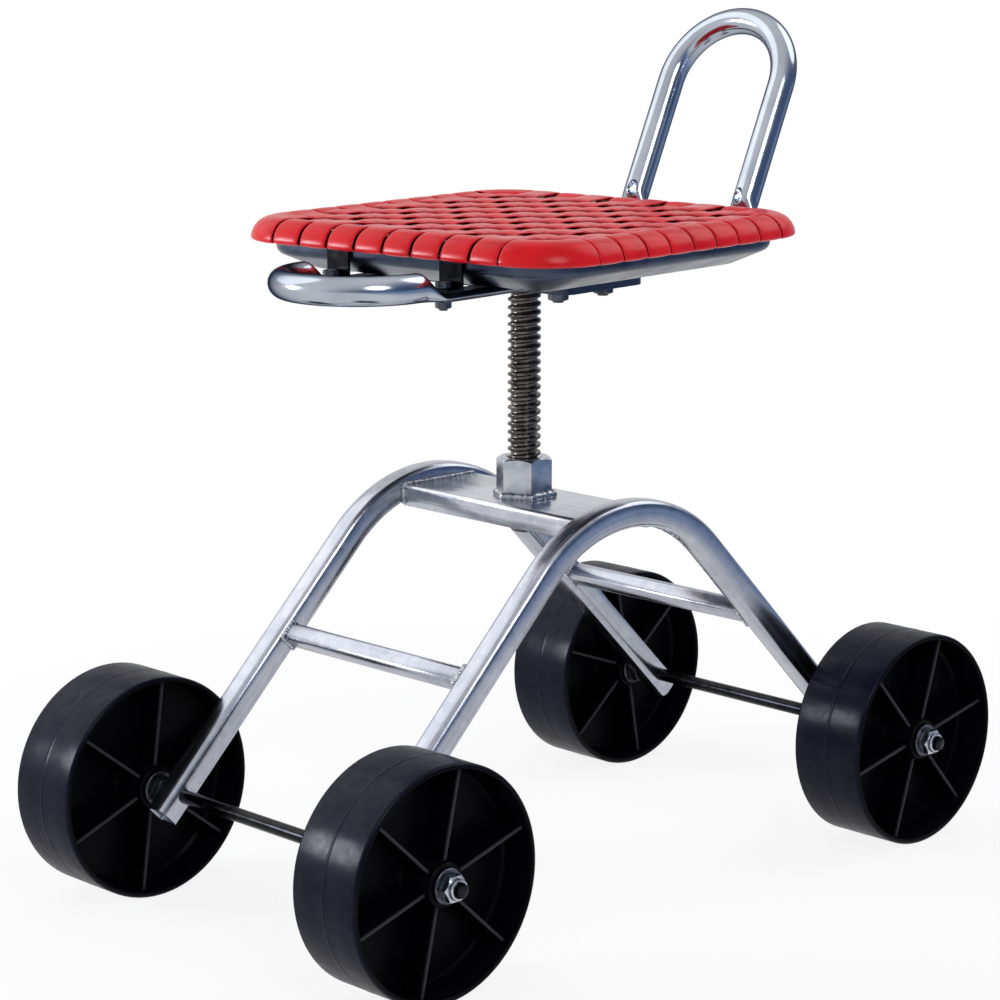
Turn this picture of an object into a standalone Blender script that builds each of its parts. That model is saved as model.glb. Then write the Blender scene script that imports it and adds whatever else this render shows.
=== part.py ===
"""Rolling garden seat: a swivel seat with a backrest, raised by a screw, on a four-wheeled tube frame.

Lengths are in metres and +Z is up. The front is -Y, the sitter's left is +X, and the origin is on the
floor under the lift screw.
"""
import math

import bmesh
import bpy
from mathutils import Matrix, Vector

# Clearances
GAP = 0.0003                    # between pieces that touch
HOLE_CLEARANCE = 0.0003         # on the radius, round a bolt, an axle or the screw
CUT_MARGIN = 0.002              # how far a drill runs past the material

# Wheels
WHEEL_DIAMETER = 0.160
WHEEL_WIDTH = 0.060
TREAD_ROUNDING = 0.006
RIM_THICKNESS = 0.006
HUB_LENGTH = 0.058
HUB_DIAMETER = 0.030
MOULD_DRAFT = 0.002
WEB_THICKNESS = 0.008
RIB_COUNT = 6
RIB_THICKNESS = 0.0028
RIB_RECESS = 0.006              # from the rim's edge down to the ribs
RIB_ROOT = 0.002                # how far a rib runs into the hub, the web and the rim
WHEEL_STEPS = 28

# Axles and what is threaded on them
WHEELBASE = 0.488
AXLE_DIAMETER = 0.010
AXLE_TAIL = 0.003               # past the lock nut
AXLE_CHAMFER = 0.001
AXLE_SIDES = 14
AXLE_NUT_ACROSS = 0.017
LEG_NUT_HEIGHT = 0.008
LOCK_NUT_HEIGHT = 0.010
AXLE_WASHER_DIAMETER = 0.024
AXLE_WASHER_THICKNESS = 0.002

# Frame
TUBE_SIDE = 0.020
TUBE_WALL = 0.002
TUBE_CORNER = 0.003
ARCH_SPACING = 0.200            # between the middles of the two arches
ARCH_BEND_RADIUS = 0.116        # to the middle of the tube
LEG_ANGLE = math.radians(45.0)  # of a leg above the floor
LEG_FOOT = 0.019                # length of leg below the axle
ARCH_STEPS = 14
CROSSBAR_SIDE = 0.015
CROSSBAR_WALL = 0.0015
CROSSBAR_CORNER = 0.002
CROSSBAR_HEIGHT = 0.180
PLATE_WIDTH = 0.072
PLATE_HEIGHT = 0.0155
PLATE_SHEET = 0.003
PLATE_BEND = 0.003
PLATE_DROP = 0.011              # from the arch tops down to the plate's top

# Lift
SCREW_DIAMETER = 0.024
SCREW_PITCH = 0.006
SCREW_LENGTH = 0.170
THREAD_DEPTH = 0.0024
THREAD_ROWS = 3                 # of points in a turn
THREAD_SIDES = 12
LIFT_NUT_ACROSS = 0.036
LIFT_NUT_HEIGHT = 0.0285
LIFT_NUT_SIDES = 24
WELD_LEG = 0.004
WELD_BULGE = 0.7                # reach of the bead's bulge, as a share of its leg
RAISE_LEFT = 0.012              # how far the seat can still be raised
STOP_WASHER_DIAMETER = 0.036
STOP_WASHER_THICKNESS = 0.004
STOP_BOLT_DIAMETER = 0.010
STOP_BOLT_ACROSS = 0.017
STOP_BOLT_HEAD = 0.0064
STOP_BOLT_GRIP = 0.018          # length of the stop bolt in the screw's end
FLANGE_LENGTH = 0.150
FLANGE_WIDTH = 0.090
FLANGE_THICKNESS = 0.005
FLANGE_CORNER = 0.010

# Handle and backrest
LOOP_TUBE = 0.020
LOOP_HALF_WIDTH = 0.0515        # from the middle plane to the middle of an arm
FLAT_WIDTH = 0.026
FLAT_THICKNESS = 0.0052
LOOP_END = 0.008                # from the screw's axis to the free ends
HANDLE_REACH = 0.036            # from the pan's front wall to the bend's centre
HANDLE_PRESS_LENGTH = 0.018     # from round to flat
HANDLE_RISE = 0.008             # of the round tube's middle over the flat
BACK_LEAN = math.radians(27.0)
BACK_REACH = 0.041              # from the pan's rear wall to where the lean line meets the flat arms
BACK_FOOT_BEND = 0.020
BACK_PRESS_START = 0.026        # up the lean line, flat below
BACK_PRESS_LENGTH = 0.024
BACK_LENGTH = 0.136             # up the lean line to the bend's centre
LOOP_SIDES = 12
LOOP_STEPS = 16                 # round a loop's bend
PRESS_STEPS = 4
FOOT_STEPS = 5

# Seat
SEAT_TURN = math.radians(5.7)
PAN_INSET = 0.015               # from the woven seat's edge in to the pan's wall
PAN_CORNER = 0.040
PAN_SHEET = 0.002
PAN_DEPTH = 0.0207
PAN_WALL = 0.008                # height of the upright wall
PAN_FLOOR_INSET = 0.030         # from the wall to the flat floor
WEAVE_SIDE = 0.302
WEAVE_CORNER = 0.048
WEAVE_HEIGHT = 0.017
WEAVE_TOP = 0.005               # thickness of the woven top
WEAVE_WRAP = 0.0025             # thickness of a wrap below the ring
WEAVE_EDGE = 0.010              # thickness of the wraps outside the ring
WEAVE_LIP = 0.023               # width of the wraps below the ring
WEAVE_ROUNDING = 0.007
RING_BAR = 0.0094
OUTLINE_STEPS = 5

# Bolts in the seat
SEAT_BOLT_DIAMETER = 0.008
SEAT_BOLT_ACROSS = 0.013
SEAT_BOLT_HEAD = 0.0053
SEAT_NUT_HEIGHT = 0.0065
SEAT_BOLT_PLACE = 0.025         # in front of and behind the axis
HANDLE_BOLT_DIAMETER = 0.006
HANDLE_BOLT_ACROSS = 0.010
HANDLE_BOLT_HEAD = 0.004
HANDLE_NUT_HEIGHT = 0.005
HANDLE_BOLT_REACH = 0.0095      # from the pan's wall forward to the bolt
BOLT_TAIL = 0.0015              # past the nut
BRACKET_WIDTH = 0.020
BRACKET_SHEET = 0.0025
BRACKET_FOOT = 0.016
BRACKET_HEIGHT = 0.0195

# Shapes of hexagons and edges
HEX_FACE = 0.47                 # radius of the flat end, as a share of the width across flats
HEX_CHAMFER = math.radians(30.0)
SHARP_ANGLE = math.radians(32.0)

# Finishes: base colour, roughness, metallic
GALVANISED = ("galvanised_steel", (0.56, 0.60, 0.65), 0.38, 1.0)
BRIGHT_ZINC = ("bright_zinc", (0.72, 0.73, 0.74), 0.30, 1.0)
DARK_STEEL = ("oiled_dark_steel", (0.06, 0.06, 0.065), 0.42, 1.0)
POLISHED_TUBE = ("polished_tube", (0.66, 0.67, 0.69), 0.18, 1.0)
PRESSED_STEEL = ("pressed_steel", (0.45, 0.50, 0.56), 0.42, 1.0)
WELD_METAL = ("weld_metal", (0.38, 0.38, 0.39), 0.55, 1.0)
BLACK_PLASTIC = ("black_plastic", (0.018, 0.019, 0.022), 0.38, 0.0)
RED_STRAP = ("red_strap", (0.55, 0.012, 0.022), 0.34, 0.0)

# Levels above the floor
AXLE_LEVEL = WHEEL_DIAMETER / 2
LEG_RUN = math.cos(LEG_ANGLE)
LEG_RISE = math.sin(LEG_ANGLE)
BEND_LEVEL = AXLE_LEVEL + (WHEELBASE / 2 * LEG_RISE - ARCH_BEND_RADIUS) / LEG_RUN
ARCH_TOP = BEND_LEVEL + ARCH_BEND_RADIUS + TUBE_SIDE / 2
PLATE_TOP = ARCH_TOP - PLATE_DROP
STOP_LEVEL = PLATE_TOP - PLATE_SHEET - RAISE_LEFT - GAP
SCREW_BOTTOM = STOP_LEVEL + GAP
SCREW_TOP = SCREW_BOTTOM + SCREW_LENGTH
FLANGE_BOTTOM = SCREW_TOP + GAP
ARM_BOTTOM = FLANGE_BOTTOM + FLANGE_THICKNESS + GAP
ARM_MIDDLE = ARM_BOTTOM + FLAT_THICKNESS / 2
ARM_TOP = ARM_BOTTOM + FLAT_THICKNESS
PAN_BOTTOM = ARM_TOP + GAP
PAN_TOP = PAN_BOTTOM + PAN_DEPTH
WEAVE_BOTTOM = PAN_TOP + GAP
SEAT_LEVEL = WEAVE_BOTTOM + WEAVE_HEIGHT

# Places along the seat, from the screw's axis
PAN_SIDE = WEAVE_SIDE - 2 * PAN_INSET
HANDLE_BEND_CENTRE = PAN_SIDE / 2 + HANDLE_REACH
BACK_FOOT = PAN_SIDE / 2 + BACK_REACH

# Places along the axles, from the middle plane outwards
INNER_FACE = ARCH_SPACING / 2 - TUBE_SIDE / 2
OUTER_FACE = ARCH_SPACING / 2 + TUBE_SIDE / 2
LEG_NUT_AT = OUTER_FACE + GAP
INNER_WASHER_AT = LEG_NUT_AT + LEG_NUT_HEIGHT + GAP
HUB_AT = INNER_WASHER_AT + AXLE_WASHER_THICKNESS + GAP
OUTER_WASHER_AT = HUB_AT + HUB_LENGTH + GAP
LOCK_NUT_AT = OUTER_WASHER_AT + AXLE_WASHER_THICKNESS + GAP
AXLE_END = LOCK_NUT_AT + LOCK_NUT_HEIGHT + AXLE_TAIL

ACROSS = Vector((1.0, 0.0, 0.0))
UP = Vector((0.0, 0.0, 1.0))
CORNERS = (("front_left", 1, -1), ("front_right", -1, -1), ("rear_left", 1, 1), ("rear_right", -1, 1))


def finished_mesh(name, shape):
    """Turn a bmesh into a mesh with outward normals, smooth but for its sharp edges."""
    bmesh.ops.recalc_face_normals(shape, faces=shape.faces)
    mesh = bpy.data.meshes.new(name)
    shape.to_mesh(mesh)
    shape.free()
    mesh.shade_smooth()
    mesh.set_sharp_from_angle(angle=SHARP_ANGLE)
    return mesh


def skin(name, rings, closed=False):
    """Join equal rings of points in order, and cap the end rings or join the last ring to the first."""
    shape = bmesh.new()
    loops = [[shape.verts.new(point) for point in ring] for ring in rings]
    pairs = list(zip(loops, loops[1:]))
    if closed:
        pairs.append((loops[-1], loops[0]))
    else:
        shape.faces.new(loops[0])
        shape.faces.new(loops[-1])
    for first, second in pairs:
        for i in range(len(first)):
            shape.faces.new((first[i - 1], first[i], second[i], second[i - 1]))
    return finished_mesh(name, shape)


def turned(name, outline, steps):
    """Spin a closed outline of (radius, height) about Z, with the middle of a flat on +X."""
    shape = bmesh.new()
    start = Matrix.Rotation(math.pi / steps, 3, "Z")
    verts = [shape.verts.new(start @ Vector((radius, 0.0, height))) for radius, height in outline]
    edges = [shape.edges.new((verts[i - 1], verts[i])) for i in range(len(verts))]
    bmesh.ops.spin(shape, geom=verts + edges, axis=UP, cent=(0.0, 0.0, 0.0), angle=2 * math.pi,
                   steps=steps, use_merge=True)
    return finished_mesh(name, shape)


def finish_material(finish):
    """The material of a finish, made when it is first asked for."""
    name, colour, roughness, metallic = finish
    if name in bpy.data.materials:
        return bpy.data.materials[name]
    material = bpy.data.materials.new(name)
    material.use_nodes = True
    shader = material.node_tree.nodes["Principled BSDF"]
    shader.inputs["Base Color"].default_value = (*colour, 1.0)
    shader.inputs["Roughness"].default_value = roughness
    shader.inputs["Metallic"].default_value = metallic
    return material


def place(name, mesh, finish, location=(0.0, 0.0, 0.0), rotation=(0.0, 0.0, 0.0), parent=None):
    """Add a piece to the scene."""
    piece = bpy.data.objects.new(name, mesh)
    bpy.context.scene.collection.objects.link(piece)
    piece.location = location
    piece.rotation_euler = rotation
    piece.parent = parent
    if not mesh.materials:
        mesh.materials.append(finish_material(finish))
    return piece


def combine(piece, shape, operation):
    """Cut a hidden shape out of a piece, or join the shape to it."""
    mesh = finished_mesh(piece.name + "_tool", shape)
    tool = bpy.data.objects.new(piece.name + "_tool", mesh)
    bpy.context.scene.collection.objects.link(tool)
    tool.location = piece.location
    tool.rotation_euler = piece.rotation_euler
    tool.parent = piece.parent
    tool.hide_render = True
    tool.display_type = "WIRE"
    boolean = piece.modifiers.new("combine", "BOOLEAN")
    boolean.solver = "EXACT"
    boolean.operation = operation
    boolean.object = tool


def drill(piece, middles, axis, radius, length, sides=16):
    """Cut straight holes through a piece, at places in its own frame."""
    shape = bmesh.new()
    turn = axis.to_track_quat("Z", "Y").to_matrix().to_4x4()
    for middle in middles:
        bmesh.ops.create_cone(shape, cap_ends=True, segments=sides, radius1=radius, radius2=radius,
                              depth=length + 2 * CUT_MARGIN, matrix=Matrix.Translation(middle) @ turn)
    combine(piece, shape, "DIFFERENCE")


def circle(radius, level, sides):
    """A level ring of points."""
    turns = [2 * math.pi * i / sides for i in range(sides)]
    return [Vector((radius * math.cos(turn), radius * math.sin(turn), level)) for turn in turns]


def hexagon(across, level, sides, cone=None):
    """A ring on a hexagon's sides; a cone (radius, level, slope) lifts or lowers its corners."""
    ring = []
    for i in range(sides):
        turn = 2 * math.pi * i / sides
        from_flat = (turn + math.pi / 6) % (math.pi / 3) - math.pi / 6
        radius = across / 2 / math.cos(from_flat)
        height = level if cone is None else cone[1] + (radius - cone[0]) * cone[2]
        ring.append(Vector((radius * math.cos(turn), radius * math.sin(turn), height)))
    return ring


def hex_rings(across, bottom, top, sides):
    """The outside of a hexagon with a chamfered top."""
    face = HEX_FACE * across
    return [
        hexagon(across, bottom, sides),
        hexagon(across, top, sides, cone=(face, top, -math.tan(HEX_CHAMFER))),
        circle(face, top, sides),
    ]


def hex_nut(name, across, height, bore, sides=12):
    """A nut standing on Z = 0."""
    rings = hex_rings(across, 0.0, height, sides)
    return skin(name, [circle(bore, 0.0, sides), *rings, circle(bore, height, sides)], closed=True)


def hex_bolt(name, across, head, diameter, length, sides=12):
    """A bolt with its head on Z = 0 and its shank below."""
    shank = [circle(diameter / 2, -length, sides), circle(diameter / 2, 0.0, sides)]
    return skin(name, shank + hex_rings(across, 0.0, head, sides))


def washer(name, diameter, thickness, bore, steps=14):
    """A flat washer standing on Z = 0."""
    inner, outer = bore, diameter / 2
    return turned(name, [(inner, 0.0), (outer, 0.0), (outer, thickness), (inner, thickness)], steps)


def outline(half_x, half_y, corner, level, steps=OUTLINE_STEPS):
    """A level ring round a rectangle with rounded corners."""
    ring = []
    for quarter in range(4):
        sign_x = 1 if quarter in (0, 3) else -1
        sign_y = 1 if quarter in (0, 1) else -1
        centre = Vector((sign_x * (half_x - corner), sign_y * (half_y - corner), level))
        for i in range(steps + 1):
            turn = math.pi / 2 * (quarter + i / steps)
            ring.append(centre + corner * Vector((math.cos(turn), math.sin(turn), 0.0)))
    return ring


def square_ring(centre, across, upright, side, corner):
    """A ring round a square tube's section."""
    flat = outline(side / 2, side / 2, corner, 0.0, steps=2)
    return [centre + across * point.x + upright * point.y for point in flat]


def square_tube(name, stations, side, wall, corner):
    """A hollow square tube with open ends, through stations of (centre, upright)."""
    outer = [square_ring(centre, ACROSS, upright, side, corner) for centre, upright in stations]
    inner = [square_ring(centre, ACROSS, upright, side - 2 * wall, corner - wall / 2)
             for centre, upright in reversed(stations)]
    return skin(name, outer + inner, closed=True)


def arch_stations():
    """The middle of an arch's tube, from its front foot over the bend to its rear foot."""
    foot_y = WHEELBASE / 2 + LEG_FOOT * LEG_RUN
    foot_z = AXLE_LEVEL - LEG_FOOT * LEG_RISE
    stations = [(Vector((0.0, -foot_y, foot_z)), Vector((0.0, -LEG_RISE, LEG_RUN)))]
    for i in range(ARCH_STEPS + 1):
        turn = LEG_ANGLE * (2 * i / ARCH_STEPS - 1)
        outward = Vector((0.0, math.sin(turn), math.cos(turn)))
        stations.append((BEND_LEVEL * UP + ARCH_BEND_RADIUS * outward, outward))
    stations.append((Vector((0.0, foot_y, foot_z)), Vector((0.0, LEG_RISE, LEG_RUN))))
    return stations


def add_frame():
    """The welded frame: arches, crossbars, and the plate with the lift nut."""
    for name, side in (("left_arch", 1), ("right_arch", -1)):
        mesh = square_tube(name, arch_stations(), TUBE_SIDE, TUBE_WALL, TUBE_CORNER)
        arch = place(name, mesh, GALVANISED, location=(side * ARCH_SPACING / 2, 0.0, 0.0))
        holes = [Vector((0.0, end * WHEELBASE / 2, AXLE_LEVEL)) for end in (-1, 1)]
        drill(arch, holes, ACROSS, AXLE_DIAMETER / 2 + HOLE_CLEARANCE, TUBE_SIDE)

    bar_half = INNER_FACE - GAP
    bar_y = WHEELBASE / 2 - (CROSSBAR_HEIGHT - AXLE_LEVEL) * LEG_RUN / LEG_RISE
    for name, end in (("front_crossbar", -1), ("rear_crossbar", 1)):
        slope = Vector((0.0, end * LEG_RISE, LEG_RUN))
        along = slope.cross(ACROSS)
        outer, inner = [
            [[ACROSS * x + point for point in square_ring(Vector(), along, slope, size, corner)]
             for x in (-bar_half, bar_half)]
            for size, corner in ((CROSSBAR_SIDE, CROSSBAR_CORNER),
                                 (CROSSBAR_SIDE - 2 * CROSSBAR_WALL, CROSSBAR_CORNER / 2))
        ]
        mesh = skin(name, outer + inner[::-1], closed=True)
        place(name, mesh, GALVANISED, location=(0.0, end * bar_y, CROSSBAR_HEIGHT))

    plate = place("screw_plate", channel("screw_plate"), GALVANISED)
    screw_hole = SCREW_DIAMETER / 2 + HOLE_CLEARANCE
    drill(plate, [PLATE_TOP * UP], UP, screw_hole, PLATE_SHEET, sides=LIFT_NUT_SIDES)

    nut_level = PLATE_TOP + GAP
    nut = hex_nut("lift_nut", LIFT_NUT_ACROSS, LIFT_NUT_HEIGHT, screw_hole, sides=LIFT_NUT_SIDES)
    place("lift_nut", nut, BRIGHT_ZINC, location=(0.0, 0.0, nut_level))
    inside = LIFT_NUT_ACROSS + 2 * GAP
    bulge = WELD_BULGE * WELD_LEG
    section = ((0.0, 0.0), (WELD_LEG, 0.0), (bulge, bulge), (0.0, WELD_LEG))
    bead = [hexagon(inside + 2 * out, up, LIFT_NUT_SIDES) for out, up in section]
    place("nut_weld", skin("nut_weld", bead, closed=True), WELD_METAL, location=(0.0, 0.0, nut_level))


def channel(name):
    """The folded plate between the arches: a top with a flange down at the front and the rear."""
    half, inner = PLATE_WIDTH / 2, PLATE_WIDTH / 2 - PLATE_SHEET
    bottom, under = PLATE_TOP - PLATE_HEIGHT, PLATE_TOP - PLATE_SHEET
    fold = PLATE_BEND * (1 - math.sqrt(0.5))
    front = [
        (-inner, under),
        (-inner, bottom),
        (-half, bottom),
        (-half, PLATE_TOP - PLATE_BEND),
        (-half + fold, PLATE_TOP - fold),
        (-half + PLATE_BEND, PLATE_TOP),
    ]
    section = front + [(-y, z) for y, z in reversed(front)]
    end = INNER_FACE - GAP
    return skin(name, [[Vector((x, y, z)) for y, z in section] for x in (-end, end)])


def wheel_mesh():
    """A moulded wheel on the X axis, dished and ribbed on both faces, with a flat of its tread below."""
    tread = WHEEL_DIAMETER / 2 / math.cos(math.pi / WHEEL_STEPS)
    dish = WHEEL_DIAMETER / 2 - RIM_THICKNESS
    hub = HUB_DIAMETER / 2
    face = WHEEL_WIDTH / 2
    web = WEB_THICKNESS / 2
    rounding = TREAD_ROUNDING * (1 - math.sqrt(0.5))
    side = [
        (AXLE_DIAMETER / 2 + HOLE_CLEARANCE, HUB_LENGTH / 2),
        (hub, HUB_LENGTH / 2),
        (hub + MOULD_DRAFT, web),
        (dish - MOULD_DRAFT, web),
        (dish, face),
        (tread - TREAD_ROUNDING, face),
        (tread - rounding, face - rounding),
        (tread, face - TREAD_ROUNDING),
    ]
    section = side + [(radius, -height) for radius, height in reversed(side)]
    blank = place("wheel_blank", turned("wheel_blank", section, WHEEL_STEPS), BLACK_PLASTIC)

    ribs = bmesh.new()
    inner, outer = hub - RIB_ROOT, dish + RIB_ROOT
    low, high = web - RIB_ROOT, face - RIB_RECESS
    size = Matrix.Diagonal((outer - inner, RIB_THICKNESS, high - low, 1.0))
    for i in range(RIB_COUNT):
        turn = Matrix.Rotation(2 * math.pi * i / RIB_COUNT, 4, "Z")
        for way in (-1, 1):
            middle = Matrix.Translation(((inner + outer) / 2, 0.0, way * (low + high) / 2))
            bmesh.ops.create_cube(ribs, size=1.0, matrix=turn @ middle @ size)
    combine(blank, ribs, "UNION")

    mesh = bpy.data.meshes.new_from_object(blank.evaluated_get(bpy.context.evaluated_depsgraph_get()))
    mesh.name = "wheel"
    mesh.transform(Matrix.Rotation(math.pi / 2, 4, "Y"))
    bpy.data.objects.remove(blank.modifiers["combine"].object)
    bpy.data.objects.remove(blank)
    return mesh


def add_running_gear():
    """The axles and, from each leg outwards, a nut, a washer, the wheel, a washer and the lock nut."""
    for name, end in (("front_axle", -1), ("rear_axle", 1)):
        radius, tip = AXLE_DIAMETER / 2, AXLE_DIAMETER / 2 - AXLE_CHAMFER
        rod = [(tip, -AXLE_END), (radius, AXLE_CHAMFER - AXLE_END), (radius, AXLE_END - AXLE_CHAMFER),
               (tip, AXLE_END)]
        mesh = skin(name, [circle(size, level, AXLE_SIDES) for size, level in rod])
        place(name, mesh, DARK_STEEL, location=(0.0, end * WHEELBASE / 2, AXLE_LEVEL),
              rotation=(0.0, math.pi / 2, 0.0))

    bore = AXLE_DIAMETER / 2 + HOLE_CLEARANCE
    stack = (
        ("leg_nut", LEG_NUT_AT, hex_nut("leg_nut", AXLE_NUT_ACROSS, LEG_NUT_HEIGHT, bore)),
        ("inner_washer", INNER_WASHER_AT, washer("inner_washer", AXLE_WASHER_DIAMETER,
                                                 AXLE_WASHER_THICKNESS, bore)),
        ("outer_washer", OUTER_WASHER_AT, washer("outer_washer", AXLE_WASHER_DIAMETER,
                                                 AXLE_WASHER_THICKNESS, bore)),
        ("lock_nut", LOCK_NUT_AT, hex_nut("lock_nut", AXLE_NUT_ACROSS, LOCK_NUT_HEIGHT, bore)),
    )
    wheel = wheel_mesh()
    for corner, side, end in CORNERS:
        y = end * WHEELBASE / 2
        for kind, start, mesh in stack:
            place(f"{kind}_{corner}", mesh, BRIGHT_ZINC, location=(side * start, y, AXLE_LEVEL),
                  rotation=(0.0, side * math.pi / 2, 0.0))
        middle = HUB_AT + HUB_LENGTH / 2
        place(f"wheel_{corner}", wheel, BLACK_PLASTIC, location=(side * middle, y, AXLE_LEVEL))


def lift_screw_mesh():
    """The lift screw: a right-hand rounded thread, with a hole for the stop bolt in its lower end."""
    hole = STOP_BOLT_DIAMETER / 2 + HOLE_CLEARANCE
    rows = round(SCREW_LENGTH / SCREW_PITCH * THREAD_ROWS)
    rings = [circle(hole, SCREW_BOTTOM + STOP_BOLT_GRIP + CUT_MARGIN, THREAD_SIDES),
             circle(hole, SCREW_BOTTOM, THREAD_SIDES)]
    for row in range(rows + 1):
        level = SCREW_BOTTOM + SCREW_LENGTH * row / rows
        ring = []
        for point in circle(SCREW_DIAMETER / 2, level, THREAD_SIDES):
            phase = 2 * math.pi * level / SCREW_PITCH - math.atan2(point.y, point.x)
            shrink = 1 - THREAD_DEPTH / SCREW_DIAMETER * (1 - math.cos(phase))
            ring.append(Vector((point.x * shrink, point.y * shrink, level)))
        rings.append(ring)
    return skin("lift_screw", rings)


def add_lift(seat):
    """The lift screw with its flange plate, and the washer and bolt that stop it at the top."""
    place("lift_screw", lift_screw_mesh(), DARK_STEEL, parent=seat)
    bore = STOP_BOLT_DIAMETER / 2 + HOLE_CLEARANCE
    stop = washer("stop_washer", STOP_WASHER_DIAMETER, STOP_WASHER_THICKNESS, bore, steps=20)
    stop_bottom = STOP_LEVEL - STOP_WASHER_THICKNESS
    place("stop_washer", stop, BRIGHT_ZINC, location=(0.0, 0.0, stop_bottom), parent=seat)
    bolt_length = STOP_WASHER_THICKNESS + 2 * GAP + STOP_BOLT_GRIP
    bolt = hex_bolt("stop_bolt", STOP_BOLT_ACROSS, STOP_BOLT_HEAD, STOP_BOLT_DIAMETER, bolt_length)
    place("stop_bolt", bolt, BRIGHT_ZINC, location=(0.0, 0.0, stop_bottom - GAP),
          rotation=(math.pi, 0.0, 0.0), parent=seat)

    faces = [outline(FLANGE_LENGTH / 2, FLANGE_WIDTH / 2, FLANGE_CORNER, level)
             for level in (FLANGE_BOTTOM, FLANGE_BOTTOM + FLANGE_THICKNESS)]
    flange = place("flange_plate", skin("flange_plate", faces), GALVANISED, parent=seat)
    drill(flange, seat_bolt_places(FLANGE_BOTTOM), UP, SEAT_BOLT_DIAMETER / 2 + HOLE_CLEARANCE,
          2 * FLANGE_THICKNESS)


def seat_bolt_places(level):
    """The middles of the four bolts that clamp the pan, the arms and the flange plate."""
    return [Vector((side * LOOP_HALF_WIDTH, end * SEAT_BOLT_PLACE, level))
            for side in (1, -1) for end in (-1, 1)]


def handle_bolt_places(level):
    """The middles of the two bolts that hang the handle from the pan's front wall."""
    y = -PAN_SIDE / 2 - GAP - HANDLE_BOLT_REACH
    return [Vector((side * LOOP_HALF_WIDTH, y, level)) for side in (1, -1)]


def loop_ring(centre, inward, upright, roundness):
    """One ring of a loop's tube: round at roundness 1, pressed to a flat bar at 0."""
    corner = math.radians(30.0)
    ring = []
    for point in circle(1.0, 0.0, LOOP_SIDES):
        reach = max(abs(point.x) / math.cos(corner), abs(point.y) / math.sin(corner))
        flat = Vector((point.x / math.cos(corner) * FLAT_WIDTH, point.y / math.sin(corner) * FLAT_THICKNESS))
        section = (flat / (2 * reach)).lerp(point.to_2d() * LOOP_TUBE / 2, roundness)
        ring.append(centre + inward * section.x + upright * section.y)
    return ring


def bent_loop(name, leg, rise):
    """A U of tube: up one leg, round the bend, down the other leg.

    The leg lists (point on the middle plane, section's upright, roundness) from its free end to the
    bend's centre, and rise points from that centre to the middle of the bend.
    """
    centre, upright, roundness = leg[-1]
    rings = []
    for point, normal, round_here in leg:
        rings.append(loop_ring(point - ACROSS * LOOP_HALF_WIDTH, ACROSS, normal, round_here))
    for i in range(1, LOOP_STEPS):
        turn = math.pi * i / LOOP_STEPS
        inward = ACROSS * math.cos(turn) - rise * math.sin(turn)
        rings.append(loop_ring(centre - inward * LOOP_HALF_WIDTH, inward, upright, roundness))
    for point, normal, round_here in reversed(leg):
        rings.append(loop_ring(point + ACROSS * LOOP_HALF_WIDTH, -ACROSS, normal, round_here))
    return skin(name, rings)


def handle_leg():
    """One arm of the handle, forward from under the pan, with the pressed end below the tube's middle."""
    start = HANDLE_BEND_CENTRE - HANDLE_PRESS_LENGTH
    leg = [(Vector((0.0, -LOOP_END, ARM_MIDDLE)), UP, 0.0)]
    for i in range(PRESS_STEPS + 1):
        part = i / PRESS_STEPS
        eased = part * part * (3 - 2 * part)
        y = -start - HANDLE_PRESS_LENGTH * part
        leg.append((Vector((0.0, y, ARM_MIDDLE + HANDLE_RISE * eased)), UP, eased))
    return leg


def backrest_leg(rise):
    """One arm of the backrest: back from under the pan, bent up, then round along the lean line."""
    bend = math.pi / 2 - BACK_LEAN
    bend_start = BACK_FOOT - BACK_FOOT_BEND * math.tan(bend / 2)
    leg = [(Vector((0.0, LOOP_END, ARM_MIDDLE)), UP, 0.0)]
    for i in range(FOOT_STEPS + 1):
        turn = bend * i / FOOT_STEPS
        normal = Vector((0.0, -math.sin(turn), math.cos(turn)))
        bend_centre = Vector((0.0, bend_start, ARM_MIDDLE + BACK_FOOT_BEND))
        leg.append((bend_centre - normal * BACK_FOOT_BEND, normal, 0.0))
    foot = Vector((0.0, BACK_FOOT, ARM_MIDDLE))
    for i in range(PRESS_STEPS + 1):
        part = i / PRESS_STEPS
        eased = part * part * (3 - 2 * part)
        leg.append((foot + rise * (BACK_PRESS_START + BACK_PRESS_LENGTH * part), normal, eased))
    leg.append((foot + rise * BACK_LENGTH, normal, 1.0))
    return leg


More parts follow.
